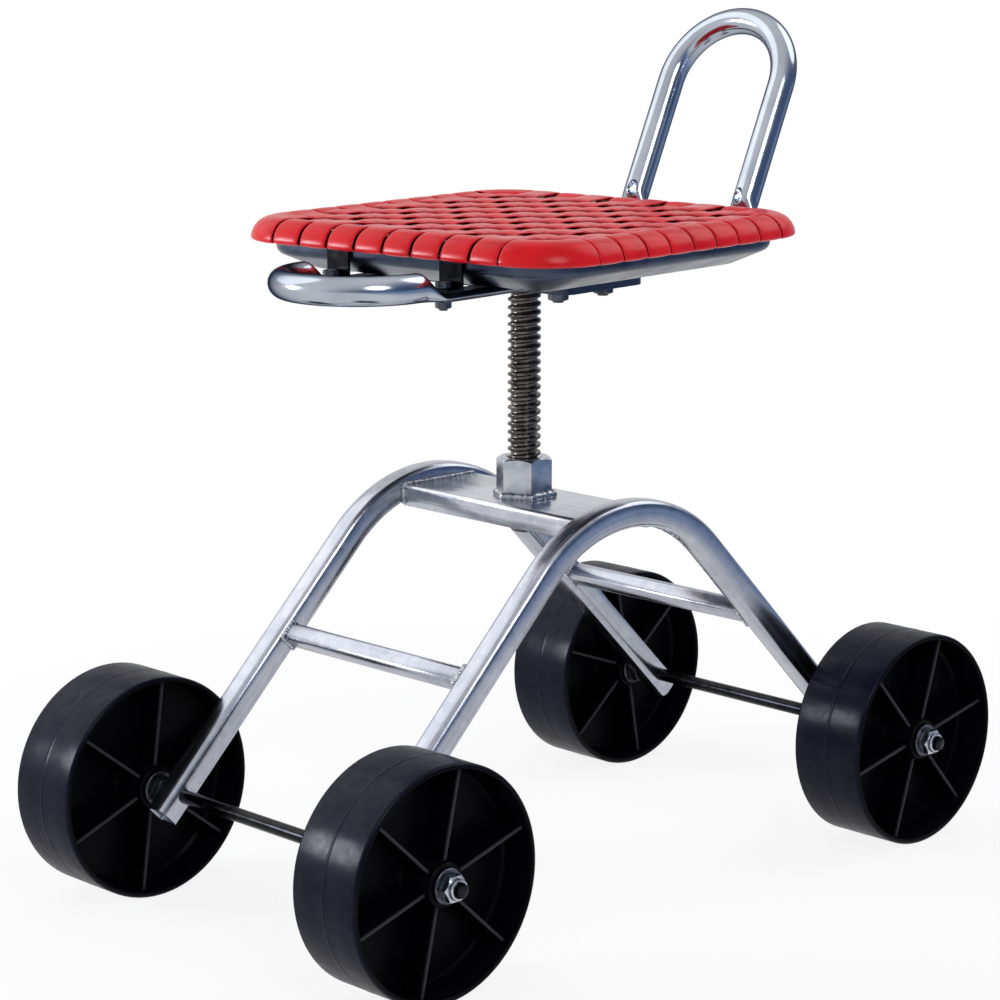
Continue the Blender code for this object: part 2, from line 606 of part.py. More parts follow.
def add_loops(seat):
    """The handle in front, the backrest behind, and what fastens them."""
    bolt_hole = SEAT_BOLT_DIAMETER / 2 + HOLE_CLEARANCE
    handle_hole = HANDLE_BOLT_DIAMETER / 2 + HOLE_CLEARANCE
    forward = Vector((0.0, -1.0, 0.0))
    handle = place("handle_loop", bent_loop("handle_loop", handle_leg(), forward), POLISHED_TUBE,
                   parent=seat)
    places = seat_bolt_places(ARM_MIDDLE)
    drill(handle, [middle for middle in places if middle.y < 0], UP, bolt_hole, FLAT_THICKNESS)
    drill(handle, handle_bolt_places(ARM_MIDDLE), UP, handle_hole, FLAT_THICKNESS)

    lean = Vector((0.0, math.sin(BACK_LEAN), math.cos(BACK_LEAN)))
    backrest = place("backrest_loop", bent_loop("backrest_loop", backrest_leg(lean), lean),
                     POLISHED_TUBE, parent=seat)
    drill(backrest, [middle for middle in places if middle.y > 0], UP, bolt_hole, FLAT_THICKNESS)

    foot_bottom = ARM_TOP + GAP
    foot_top = foot_bottom + BRACKET_SHEET
    wall = -PAN_SIDE / 2 - GAP
    section = [
        (wall, foot_bottom),
        (wall, foot_bottom + BRACKET_HEIGHT),
        (wall - BRACKET_SHEET, foot_bottom + BRACKET_HEIGHT),
        (wall - BRACKET_SHEET, foot_top),
        (wall - BRACKET_FOOT, foot_top),
        (wall - BRACKET_FOOT, foot_bottom),
    ]
    head_level = foot_top + GAP
    nut_level = ARM_BOTTOM - GAP
    length = head_level - nut_level + HANDLE_NUT_HEIGHT + BOLT_TAIL
    for side, middle in zip(("left", "right"), handle_bolt_places(0.0)):
        name = f"handle_bracket_{side}"
        edges = (middle.x - BRACKET_WIDTH / 2, middle.x + BRACKET_WIDTH / 2)
        mesh = skin(name, [[Vector((x, y, z)) for y, z in section] for x in edges])
        bracket = place(name, mesh, BRIGHT_ZINC, parent=seat)
        drill(bracket, [middle + UP * foot_bottom], UP, handle_hole, 2 * BRACKET_SHEET)
        bolt = hex_bolt(f"handle_bolt_{side}", HANDLE_BOLT_ACROSS, HANDLE_BOLT_HEAD,
                        HANDLE_BOLT_DIAMETER, length)
        place(f"handle_bolt_{side}", bolt, BRIGHT_ZINC, location=middle + UP * head_level, parent=seat)
        nut = hex_nut(f"handle_bolt_nut_{side}", HANDLE_BOLT_ACROSS, HANDLE_NUT_HEIGHT, handle_hole)
        place(f"handle_bolt_nut_{side}", nut, BRIGHT_ZINC, location=middle + UP * nut_level,
              rotation=(math.pi, 0.0, 0.0), parent=seat)


def add_seat(seat):
    """The pressed pan with its bolts, the ring that the straps are wound on, and the woven seat."""
    half, sheet = PAN_SIDE / 2, PAN_SHEET
    floor_half, floor_corner = half - PAN_FLOOR_INSET, PAN_CORNER - PAN_FLOOR_INSET
    wall_bottom = PAN_TOP - PAN_WALL
    pan_rings = [
        outline(floor_half - sheet / 2, floor_half - sheet / 2, floor_corner, PAN_BOTTOM + sheet),
        outline(half - sheet, half - sheet, PAN_CORNER - sheet, wall_bottom + sheet / 2),
        outline(half - sheet, half - sheet, PAN_CORNER - sheet, PAN_TOP),
        outline(half, half, PAN_CORNER, PAN_TOP),
        outline(half, half, PAN_CORNER, wall_bottom),
        outline(floor_half, floor_half, floor_corner, PAN_BOTTOM),
    ]
    pan = place("seat_pan", skin("seat_pan", pan_rings), PRESSED_STEEL, parent=seat)
    bolt_hole = SEAT_BOLT_DIAMETER / 2 + HOLE_CLEARANCE
    drill(pan, seat_bolt_places(PAN_BOTTOM), UP, bolt_hole, 2 * sheet)

    head_level = PAN_BOTTOM + sheet + GAP
    nut_level = FLANGE_BOTTOM - GAP
    length = head_level - nut_level + SEAT_NUT_HEIGHT + BOLT_TAIL
    bolt = hex_bolt("seat_bolt", SEAT_BOLT_ACROSS, SEAT_BOLT_HEAD, SEAT_BOLT_DIAMETER, length)
    nut = hex_nut("seat_bolt_nut", SEAT_BOLT_ACROSS, SEAT_NUT_HEIGHT, bolt_hole)
    names = ("front_left", "rear_left", "front_right", "rear_right")
    for corner, middle in zip(names, seat_bolt_places(0.0)):
        place(f"seat_bolt_{corner}", bolt, BRIGHT_ZINC, location=middle + UP * head_level, parent=seat)
        place(f"seat_bolt_nut_{corner}", nut, BRIGHT_ZINC, location=middle + UP * nut_level,
              rotation=(math.pi, 0.0, 0.0), parent=seat)

    half = WEAVE_SIDE / 2
    pocket = half - WEAVE_EDGE
    lip = half - WEAVE_LIP
    soft = WEAVE_ROUNDING * (1 - math.sqrt(0.5))
    pocket_floor, pocket_roof = WEAVE_BOTTOM + WEAVE_WRAP, SEAT_LEVEL - WEAVE_TOP
    levels = [
        (pocket, pocket_roof),
        (pocket, pocket_floor),
        (lip, pocket_floor),
        (lip, WEAVE_BOTTOM),
        (half - WEAVE_ROUNDING, WEAVE_BOTTOM),
        (half - soft, WEAVE_BOTTOM + soft),
        (half, WEAVE_BOTTOM + WEAVE_ROUNDING),
        (half, SEAT_LEVEL - WEAVE_ROUNDING),
        (half - soft, SEAT_LEVEL - soft),
        (half - WEAVE_ROUNDING, SEAT_LEVEL),
    ]
    weave = [outline(size, size, WEAVE_CORNER - half + size, level) for size, level in levels]
    place("seat_weave", skin("seat_weave", weave), RED_STRAP, parent=seat)

    outer, inner = pocket - GAP, pocket - GAP - RING_BAR
    low, high = pocket_floor + GAP, pocket_roof - GAP
    bar = [(outer, low), (outer, high), (inner, high), (inner, low)]
    ring = [outline(size, size, WEAVE_CORNER - half + size, level) for size, level in bar]
    place("seat_ring", skin("seat_ring", ring, closed=True), PRESSED_STEEL, parent=seat)


for leftover in list(bpy.data.objects):
    bpy.data.objects.remove(leftover)

seat_axis = bpy.data.objects.new("seat_axis", None)
seat_axis.rotation_euler = (0.0, 0.0, SEAT_TURN)
bpy.context.scene.collection.objects.link(seat_axis)

add_frame()
add_running_gear()
add_lift(seat_axis)
add_loops(seat_axis)
add_seat(seat_axis)
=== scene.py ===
import math

import bmesh
import bpy
from mathutils import Matrix, Vector


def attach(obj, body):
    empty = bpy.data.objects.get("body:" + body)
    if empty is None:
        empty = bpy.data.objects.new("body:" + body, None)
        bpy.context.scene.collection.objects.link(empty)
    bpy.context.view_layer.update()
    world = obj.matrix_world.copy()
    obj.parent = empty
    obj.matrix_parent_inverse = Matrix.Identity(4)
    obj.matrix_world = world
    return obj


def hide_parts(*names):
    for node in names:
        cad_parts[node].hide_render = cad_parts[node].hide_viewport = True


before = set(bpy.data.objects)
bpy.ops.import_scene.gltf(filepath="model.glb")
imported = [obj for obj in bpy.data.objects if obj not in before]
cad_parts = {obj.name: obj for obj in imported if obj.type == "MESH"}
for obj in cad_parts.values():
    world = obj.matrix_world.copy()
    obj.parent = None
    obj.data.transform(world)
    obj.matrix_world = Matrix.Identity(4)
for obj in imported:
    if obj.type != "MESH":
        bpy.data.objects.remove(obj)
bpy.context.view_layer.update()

# Sizes in millimetres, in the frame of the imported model: +Z up, front at -Y
MM = 0.001
CORNERS = (("front_left", 1, -1), ("front_right", -1, -1), ("rear_left", 1, 1), ("rear_right", -1, 1))

# Frame: two arches of square tube, with two crossbars and a folded plate between them
ARCH_X = 100.0
TUBE_SIDE, TUBE_WALL, TUBE_CORNER = 20.0, 2.0, 4.5
BEND_Z, BEND_RADIUS = 159.95, 116.0
LEG_PAST_AXLE = 19.0
SLOPE = math.sqrt(0.5)
CROSSBAR_SIDE, CROSSBAR_WALL, CROSSBAR_CORNER = 15.0, 1.5, 3.6
CROSSBAR_Y, CROSSBAR_Z = 144.0, 180.0
SPAN_HALF = 89.7
PLATE_TOP, PLATE_BOTTOM, PLATE_HALF, PLATE_SHEET = 274.95, 259.45, 36.0, 3.0

# Running gear: axles, wheels, washers and lock nuts, with each wheel's roll in degrees
AXLE_Y, AXLE_Z = 244.0, 80.0
AXLE_RADIUS, AXLE_LENGTH, AXLE_CHAMFER = 5.0, 389.0, 1.0
WHEEL_X = 149.9
WHEEL_ROLLS = {"front_left": -13, "rear_left": -18, "front_right": -8, "rear_right": 10}
RIB_COUNT, RIB_THICK = 6, 2.6
RIB_BASE, RIB_TOP = 2.0, 24.0
RIB_INNER, RIB_OUTER = 14.5, 75.5
INNER_WASHER_X, OUTER_WASHER_X, LOCK_NUT_X = 118.6, 179.2, 181.5
LOCK_NUT_ACROSS, LOCK_NUT_HEIGHT = 17.0, 7.0

# Lift: the nut on the plate and the screw through it
NUT_ACROSS, NUT_HEIGHT, NUT_BOTTOM = 36.0, 28.5, PLATE_TOP + 0.3
NUT_TURNED_RADIUS = 20.9
SCREW_BOTTOM, SCREW_TOP, THREAD_PITCH = 259.95, 429.95, 6.0

# Seat: what turns with the screw, drawn square and then turned as it stands at rest
SEAT_TURN = math.radians(5.7)
LOOP_RADIUS = 10.0
ARM_X, ARM_Z = 51.5, 438.15
ARM_WIDTH, ARM_THICKNESS = 26.0, 5.2
HANDLE_BEND_Y, HANDLE_RISE, HANDLE_PRESS, HANDLE_END_Y = -172.0, 8.0, 18.0, -8.0
BACK_Y, BACK_LEAN = 177.0, math.radians(27)
BACK_BEND_Z, BACK_PRESS_Z, BACK_FLAT_Z = 136.0, 44.0, 26.0
FOOT_BEND_Z, FOOT_BEND_RADIUS, BACK_ARM = 12.26, 20.0, 156.74
PAN_BOTTOM, PAN_WALL, PAN_TOP = 441.05, 453.75, 461.75
PAN_HALF, PAN_CORNER, PAN_SLOPE, PAN_SHEET = 136.0, 40.0, 30.0, 2.0
STRAP_PITCH, STRAP_COUNT = 25.75, 10
STRAP_LEVEL, STRAP_THICKNESS, STRAP_EDGE = 475.9, 1.3, 2.0
WRAP_THICKNESS = 1.2
CORNER_CENTRE = 103.0
# How far from the seat's middle the weave is level, and where its edge is steep
WEAVE_LEVEL, WEAVE_EDGE, WEAVE_STEEP = 120.0, 124.0, 138.0
# The seat's edge from below to above, (reach from the middle, level): tight turn, steep side, easy shoulder
WRAPPED = [(126, 462.0), (134, 461.9), (143.0, 461.9), (149.2, 461.95), (151.4, 463.3), (151.1, 466.2),
           (149.5, 470.4), (146.4, 474.6), (140.6, 478.1), (132.2, 479.3)]
# The end of a strap that is tucked under a corner
TUCKED = [(143, 468.5), (140.5, 472.0), (136, 474.6)]
# Heights of a strap's control points over one crossing and under the next
ARCHED = [2.0, 2.0, -0.2, -2.8, -2.6, -2.8, -0.2, 2.0]
TAUT = [1.0, 0.7, -0.4, -2.2, -2.4, -2.2, -0.4, 0.7]
# How much each ripple of a weld swells, in turn
RIPPLES = (1.12, 0.9, 1.06, 0.84, 1.1, 0.94, 1.02)
RIPPLE_SPACING = 2.6
NUT_BEAD, PLATE_BEAD, CROSSBAR_BEAD = 3.7, 2.0, 1.9

TURNED = Matrix.Rotation(SEAT_TURN, 4, "Z")


def begin(name, add, **settings):
    """Add a primitive on its own, and start shaping all of it."""
    if bpy.context.mode != "OBJECT":
        bpy.ops.object.mode_set(mode="OBJECT")
    bpy.ops.object.select_all(action="DESELECT")
    add(**settings)
    piece = bpy.context.active_object
    piece.name = piece.data.name = name
    bpy.ops.object.transform_apply(location=True, rotation=True, scale=True)
    bpy.ops.object.mode_set(mode="EDIT")
    bpy.ops.mesh.select_mode(type="VERT")
    bpy.ops.mesh.select_all(action="SELECT")
    return piece


def pick(kind, test):
    """Select the vertices, edges or faces whose middle in mm and normal or direction pass a test."""
    bpy.ops.mesh.select_all(action="DESELECT")
    bpy.ops.mesh.select_mode(type=kind)
    mesh = bpy.context.edit_object.data
    shape = bmesh.from_edit_mesh(mesh)
    if kind == "VERT":
        found = [v for v in shape.verts if test(v.co / MM, v.normal)]
    elif kind == "EDGE":
        ends = [(e, e.verts[0].co, e.verts[1].co) for e in shape.edges]
        found = [e for e, a, b in ends if test((a + b) / 2 / MM, (b - a).normalized())]
    else:
        found = [f for f in shape.faces if test(f.calc_center_median() / MM, f.normal)]
    for part in found:
        part.select_set(True)
    shape.select_flush_mode()
    bmesh.update_edit_mesh(mesh)


def extrude(x, y, z):
    """Extrude what is selected by a step in mm."""
    bpy.ops.mesh.extrude_region_move(TRANSFORM_OT_translate={"value": Vector((x, y, z)) * MM})


def resize(x, y, z, centre):
    """Scale what is selected about a point in mm."""
    bpy.ops.transform.resize(value=(x, y, z), center_override=Vector(centre) * MM)


def spin(angle, steps, centre, axis):
    """Extrude what is selected round an axis through a point in mm; the operator turns the other way."""
    bpy.ops.mesh.spin(steps=steps, angle=-math.radians(angle), center=Vector(centre) * MM, axis=axis)


def draw(name, points):
    """Draw a line through points in mm by extruding one vertex from each to the next, and select it."""
    piece = begin(name, bpy.ops.mesh.primitive_plane_add, size=MM, location=Vector(points[0]) * MM)
    bpy.ops.mesh.merge(type="CENTER")
    for here, there in zip(points, points[1:]):
        extrude(*(Vector(there) - Vector(here)))
    bpy.ops.mesh.select_all(action="SELECT")
    return piece


def round_square(radius, half):
    """Turn a square profile into a tube's outline: rounded corners, and sides that bulge a little."""
    bpy.ops.mesh.bevel(offset=radius * MM, segments=4, affect="VERTICES")
    bpy.ops.mesh.delete(type="ONLY_FACE")
    bpy.ops.mesh.select_all(action="SELECT")
    bpy.ops.mesh.subdivide(number_cuts=2)
    bpy.ops.transform.tosphere(value=0.22)
    points = [v.co for v in bmesh.from_edit_mesh(bpy.context.edit_object.data).verts]
    middle = sum(points, Vector()) / len(points)
    share = half * MM / min((point - middle).length for point in points)
    resize(share, share, share, middle / MM)


def tidy_shell():
    """Merge doubled points and turn every face outwards."""
    bpy.ops.mesh.select_all(action="SELECT")
    bpy.ops.mesh.remove_doubles(threshold=0.002 * MM)
    bpy.ops.mesh.normals_make_consistent(inside=False)


def turn_round(steps):
    """Turn a drawn section once round the X axis into a shell."""
    spin(360, steps, (0, 0, 0), (1, 0, 0))
    tidy_shell()


def face_out(test):
    """Turn an open sheet over if any of its faces pass a test for looking the wrong way."""
    pick("FACE", test)
    if any(face.select for face in bmesh.from_edit_mesh(bpy.context.edit_object.data).faces):
        bpy.ops.mesh.select_all(action="SELECT")
        bpy.ops.mesh.flip_normals()


def only(piece):
    """Leave edit mode with one piece selected and active."""
    if bpy.context.mode != "OBJECT":
        bpy.ops.object.mode_set(mode="OBJECT")
    bpy.ops.object.select_all(action="DESELECT")
    piece.select_set(True)
    bpy.context.view_layer.objects.active = piece


def reopen(piece):
    """Go back into a piece to merge doubled points and turn every face outwards."""
    only(piece)
    bpy.ops.object.mode_set(mode="EDIT")
    tidy_shell()


def modify(piece, kind, **settings):
    """Put a modifier on a piece and apply it."""
    only(piece)
    modifier = piece.modifiers.new(kind.lower(), kind)
    for key, value in settings.items():
        setattr(modifier, key, value)
    bpy.ops.object.modifier_apply(modifier=modifier.name)


def thicken(piece, thickness):
    """Give a shell its wall, inwards, in mm."""
    modify(piece, "SOLIDIFY", thickness=thickness * MM, offset=-1.0)


def soften(piece, width, segments=2, angle=35):
    """Round the sharp edges of a piece."""
    modify(piece, "BEVEL", width=width * MM, segments=segments, limit_method="ANGLE",
           angle_limit=math.radians(angle), harden_normals=False)


def smooth_all(piece, levels):
    """Subdivide and round a piece."""
    modify(piece, "SUBSURF", levels=levels, render_levels=levels)


def cut(piece, tool, operation):
    """Cut a piece with a tool, or keep what both share, and put the tool away."""
    modify(piece, "BOOLEAN", operation=operation, object=tool, solver="EXACT")
    bpy.data.objects.remove(tool)


def move(piece, matrix):
    """Carry a piece to its place, and put the place in its mesh."""
    only(piece)
    piece.matrix_world = matrix
    bpy.ops.object.transform_apply(location=True, rotation=True, scale=True)


def copied(piece, name, matrix):
    """Copy a piece with a mesh of its own to another place."""
    only(piece)
    bpy.ops.object.duplicate(linked=False)
    copy = bpy.context.active_object
    copy.name = copy.data.name = name
    move(copy, matrix)
    return copy


def joined(name, pieces):
    """Join pieces into one."""
    only(pieces[0])
    for piece in pieces:
        piece.select_set(True)
    bpy.ops.object.join()
    pieces[0].name = pieces[0].data.name = name
    return pieces[0]


def keep_place(piece, name, place_of):
    """Keep three numbers for each point of a piece, worked out from its place, for a material to read."""
    only(piece)
    kept = piece.data.attributes.new(name, "FLOAT_VECTOR", "POINT")
    kept.data.foreach_set("vector", [c for point in piece.data.vertices for c in place_of(point.co)])


def settle(piece, material, body, slot, *nodes, angle=32):
    """Smooth a finished piece, give it its material, and tie it to the frame."""
    only(piece)
    bpy.ops.object.shade_smooth_by_angle(angle=math.radians(angle))
    piece.data.materials.clear()
    piece.data.materials.append(material)
    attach(piece, body)
    if nodes:
        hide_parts(*nodes)


def shifted(x, y, z):
    """A move by mm."""
    return Matrix.Translation(Vector((x, y, z)) * MM)


# Materials


def shade(code):
    """The linear colour of an sRGB hex code."""
    parts = [int(code[i:i + 2], 16) / 255 for i in (1, 3, 5)]
    return (*[p / 12.92 if p <= 0.04045 else ((p + 0.055) / 1.055) ** 2.4 for p in parts], 1.0)


def node(tree, kind, inputs=None, **settings):
    """Add a shader node with its settings, and set or link its inputs."""
    added = tree.nodes.new(kind)
    for key, value in settings.items():
        setattr(added, key, value)
    for key, value in (inputs or {}).items():
        if isinstance(value, bpy.types.NodeSocket):
            tree.links.new(value, added.inputs[key])
        else:
            added.inputs[key].default_value = value
    return added


def begin_material(name, **constants):
    """A material with its shader's even values set, and the object's own coordinates."""
    material = bpy.data.materials.new(name)
    material.use_nodes = True
    shader = material.node_tree.nodes["Principled BSDF"]
    for key, value in constants.items():
        shader.inputs[key.replace("_", " ")].default_value = value
    place = node(material.node_tree, "ShaderNodeTexCoord").outputs["Object"]
    return material, material.node_tree, shader, place


def finish_material(tree, shader, colour, rough, height, strength, depth):
    """Give a shader its colour, its roughness and a relief as deep as a size in mm."""
    bump = node(tree, "ShaderNodeBump", {"Height": height, "Strength": strength, "Distance": depth * MM})
    tree.links.new(colour, shader.inputs["Base Color"])
    tree.links.new(rough, shader.inputs["Roughness"])
    tree.links.new(bump.outputs["Normal"], shader.inputs["Normal"])


def per(size):
    """The scale at which a pattern repeats once in a size in mm."""
    return 1.0 / (size * MM)


def two_tones(tree, value, low, high, dark, light):
    """A colour that goes from dark to light as a pattern goes from low to high."""
    share = node(tree, "ShaderNodeMapRange", {"Value": value, "From Min": low, "From Max": high})
    tones = {0: share.outputs["Result"], 6: shade(dark), 7: shade(light)}
    return node(tree, "ShaderNodeMix", tones, data_type="RGBA").outputs[2]


def make_galvanised(name, dark, light):
    """Hot-dip galvanised steel: cool grey with a faint spangle of zinc crystals a few mm wide, cloudy
    patches where the zinc has dulled, and long lines from the rolls showing through."""
    material, tree, shader, place = begin_material(name, Metallic=1.0)
    spangle = node(tree, "ShaderNodeTexVoronoi", {"Vector": place, "Scale": per(6.0)})
    grey = node(tree, "ShaderNodeRGBToBW", {"Color": spangle.outputs["Color"]})
    cloud = node(tree, "ShaderNodeTexNoise", {"Vector": place, "Scale": per(40.0), "Detail": 4.0})
    crystal = node(tree, "ShaderNodeMix", {0: 0.7, 2: grey.outputs[0], 3: cloud.outputs["Fac"]})
    grain = node(tree, "ShaderNodeAttribute", attribute_name="grain").outputs["Vector"]
    along = node(tree, "ShaderNodeMapping", {"Vector": grain, "Scale": (0.03, 1.0, 1.0)}).outputs["Vector"]
    rolled = node(tree, "ShaderNodeTexNoise", {"Vector": along, "Scale": per(4.0), "Detail": 3.0})
    lines = rolled.outputs["Fac"]
    tone = node(tree, "ShaderNodeMix", {0: 0.45, 2: crystal.outputs[0], 3: lines}).outputs[0]
    colour = two_tones(tree, tone, 0.32, 0.68, dark, light)
    rough = node(tree, "ShaderNodeMapRange", {"Value": tone, "From Min": 0.3, "From Max": 0.7,
                                              "To Min": 0.17, "To Max": 0.28})
    finish_material(tree, shader, colour, rough.outputs["Result"], lines, 0.6, 0.25)
    return material


def make_metal(name, dark, light, low, high, cloud_size, scratch, strength, **constants):
    """A bare metal: two tones in soft clouds, roughness that follows them, and fine scratches one way."""
    material, tree, shader, place = begin_material(name, Metallic=1.0, **constants)
    cloud = node(tree, "ShaderNodeTexNoise", {"Vector": place, "Scale": per(cloud_size), "Detail": 5.0})
    colour = two_tones(tree, cloud.outputs["Fac"], 0.3, 0.7, dark, light)
    rough = node(tree, "ShaderNodeMapRange", {"Value": cloud.outputs["Fac"], "From Min": 0.3,
                                              "From Max": 0.7, "To Min": low, "To Max": high})
    along = node(tree, "ShaderNodeMapping", {"Vector": place, "Scale": scratch}).outputs["Vector"]
    lines = node(tree, "ShaderNodeTexNoise", {"Vector": along, "Scale": per(3.0), "Detail": 4.0})
    finish_material(tree, shader, colour, rough.outputs["Result"], lines.outputs["Fac"], strength, 0.2)
    return material


def make_wheel_plastic():
    """Injection-moulded black polypropylene: dull black faces, rib tops painted grey as a highlight, a
    scuffed, glossy tread painted a bluer black as its sheen, faint flow clouds, and fine rings left round
    the tread by the turned mould, drawn a little coarser than real so that they show."""
    material, tree, shader, _ = begin_material("black_polypropylene_moulded", IOR=1.49,
                                               Specular_IOR_Level=0.04, Coat_Roughness=0.21)
    place = node(tree, "ShaderNodeAttribute", attribute_name="wheel_place").outputs["Vector"]
    split = node(tree, "ShaderNodeSeparateXYZ", {"Vector": place})
    flow = node(tree, "ShaderNodeTexNoise", {"Vector": place, "Scale": per(22.0), "Detail": 5.0})
    cloud = flow.outputs["Fac"]
    rings = node(tree, "ShaderNodeTexNoise", {"W": split.outputs["X"], "Scale": per(2.2), "Detail": 3.0},
                 noise_dimensions="1D")
    spread = node(tree, "ShaderNodeCombineXYZ", {"Y": split.outputs["Y"], "Z": split.outputs["Z"]})
    radius = node(tree, "ShaderNodeVectorMath", {0: spread.outputs["Vector"]}, operation="LENGTH")
    tread = node(tree, "ShaderNodeMapRange", {"Value": radius.outputs["Value"], "From Min": 77 * MM,
                                              "From Max": 79.5 * MM}).outputs["Result"]
    faces = two_tones(tree, cloud, 0.3, 0.75, "#030307", "#07070C")
    # Painted sheen: the tread is coloured a bluer black than the faces
    black = node(tree, "ShaderNodeMix", {0: tread, 6: faces, 7: shade("#0A0B1C")}, data_type="RGBA")
    # Painted highlight: the rib tops are coloured a lighter grey, as the light lines that the ribs catch
    rib_top_highlight = node(tree, "ShaderNodeAttribute", attribute_name="rib_top_highlight").outputs["Fac"]
    rib_highlight_share = node(tree, "ShaderNodeMapRange", {"Value": rib_top_highlight, "From Min": 0.92}).outputs["Result"]
    tones = {0: rib_highlight_share, 6: black.outputs[2], 7: shade("#35353B")}
    colour = node(tree, "ShaderNodeMix", tones, data_type="RGBA")
    rough = node(tree, "ShaderNodeMapRange", {"Value": cloud, "From Min": 0.3, "From Max": 0.7,
                                              "To Min": 0.33, "To Max": 0.46})
    gloss = node(tree, "ShaderNodeMapRange", {"Value": tread, "To Min": 0.01, "To Max": 0.15})
    scuffs = node(tree, "ShaderNodeTexNoise", {"Vector": place, "Scale": per(7.0), "Detail": 6.0,
                                               "Roughness": 0.7})
    worn = node(tree, "ShaderNodeMapRange", {"Value": scuffs.outputs["Fac"], "From Min": 0.35,
                                             "From Max": 0.65, "To Min": 0.6, "To Max": 1.3})
    left = node(tree, "ShaderNodeMath", {0: gloss.outputs["Result"], 1: worn.outputs["Result"]},
                operation="MULTIPLY")
    tree.links.new(left.outputs[0], shader.inputs["Coat Weight"])
    relief = node(tree, "ShaderNodeMix", {0: 0.4, 2: rings.outputs["Fac"], 3: cloud})
    finish_material(tree, shader, colour.outputs[2], rough.outputs["Result"], relief.outputs[0], 0.12, 0.3)
    return material


def make_strap_plastic():
    """Extruded red PVC strap: strong red, slightly darker in soft clouds, dulled on top where it is sat on
    and still glossy down the sides, with faint waves from the die, and painted shade in the crossings,
    where it turns dark maroon as it runs under."""
    material, tree, shader, place = begin_material("red_pvc_strap_extruded", IOR=1.53,
                                                   Specular_IOR_Level=0.13, Coat_Roughness=0.24)
    soft = node(tree, "ShaderNodeTexNoise", {"Vector": place, "Scale": per(30.0), "Detail": 4.0})
    cloud = soft.outputs["Fac"]
    clean = two_tones(tree, cloud, 0.3, 0.7, "#C40915", "#D6131F")
    # Painted shade: the red turns dark maroon in the crossings, where the strap runs under its neighbour
    depth = node(tree, "ShaderNodeAttribute", attribute_name="covered").outputs["Fac"]
    crossing_shade = node(tree, "ShaderNodeMapRange", {"Value": depth, "From Min": 0.30, "From Max": 0.55},
                interpolation_type="SMOOTHSTEP").outputs["Result"]
    red = node(tree, "ShaderNodeMix", {0: crossing_shade, 6: clean, 7: shade("#3A0209")}, data_type="RGBA")
    rough = node(tree, "ShaderNodeMapRange", {"Value": cloud, "From Min": 0.3, "From Max": 0.7,
                                              "To Min": 0.24, "To Max": 0.34})
    matt = node(tree, "ShaderNodeMix", {0: crossing_shade, 2: rough.outputs["Result"], 3: 1.0})
    waves = node(tree, "ShaderNodeTexNoise", {"Vector": place, "Scale": per(9.0), "Detail": 2.0})
    level = node(tree, "ShaderNodeSeparateXYZ", {"Vector": place}).outputs["Z"]
    gloss = node(tree, "ShaderNodeMapRange", {"Value": level, "From Min": 474.5 * MM,
                                              "From Max": 467.0 * MM, "To Max": 0.22})
    tree.links.new(gloss.outputs["Result"], shader.inputs["Coat Weight"])
    finish_material(tree, shader, red.outputs[2], matt.outputs[0], waves.outputs["Fac"], 0.06, 0.4)
    return material


GALVANISED = make_galvanised("galvanised_steel_hot_dipped", "#979BA8", "#BBBEC7")
# Galvanised sheet: the same skin as on the tube, in lighter tones painted in for the brighter light on the
# plate
GALVANISED_SHEET_PAINTED_LIGHTER = make_galvanised("galvanised_sheet_folded", "#ADB1BC", "#D2D4DA")
# Bright zinc plate: whiter than the frame, with soft clouds
ZINC = make_metal("bright_zinc_plated", "#A4A9B2", "#C6C9CF", 0.20, 0.32, 8.0, (1.0, 1.0, 1.0), 0.08)
# Dulled zinc plate: dark grey and duller than the bright zinc, for the fasteners under the seat and behind
# the wheels
DULL_ZINC = make_metal("dulled_zinc_plated", "#3A3C42", "#6A6D75", 0.30, 0.46, 7.0, (1.0, 1.0, 1.0), 0.10)
# Rolled, oiled steel: dark brown-black, shiny where the oil lies
OILED_STEEL = make_metal("oiled_steel_rolled", "#403B38", "#766F69", 0.15, 0.27, 7.0, (1.0, 1.0, 0.3), 0.10)
# Blackened steel rod: nearly black and shiny, with drawing lines along the axle; the same near-black is
# painted shade on the brackets and the ring under the seat
BLACK_STEEL_AND_PAINTED_SHADE = make_metal("blackened_steel_drawn_and_painted_shade", "#17171A", "#26262A", 0.16, 0.26, 9.0, (0.08, 1.0, 1.0),
                       0.10)
# Polished chromed tube: mirror bands with faint lengthwise polish, darker where it turns away
POLISHED = make_metal("chromed_tube_polished", "#A8AFBA", "#BAC0CA", 0.12, 0.20, 30.0, (1.0, 0.15, 1.0),
                      0.02, Specular_Tint=shade("#30384A"))
# Pressed sheet steel: bluish, duller than the tube, and painted dark for the shade under the seat
PRESSED = make_metal("sheet_steel_pressed", "#353C4A", "#4A5263", 0.24, 0.36, 26.0, (0.3, 1.0, 1.0), 0.05)
# Weld metal: light grey in small clouds, with an uneven skin
WELD = make_metal("weld_metal_as_laid", "#8E9097", "#C2C5CB", 0.22, 0.36, 3.0, (1.0, 1.0, 1.0), 0.20)
WHEEL_PLASTIC = make_wheel_plastic()
STRAP_PLASTIC = make_strap_plastic()


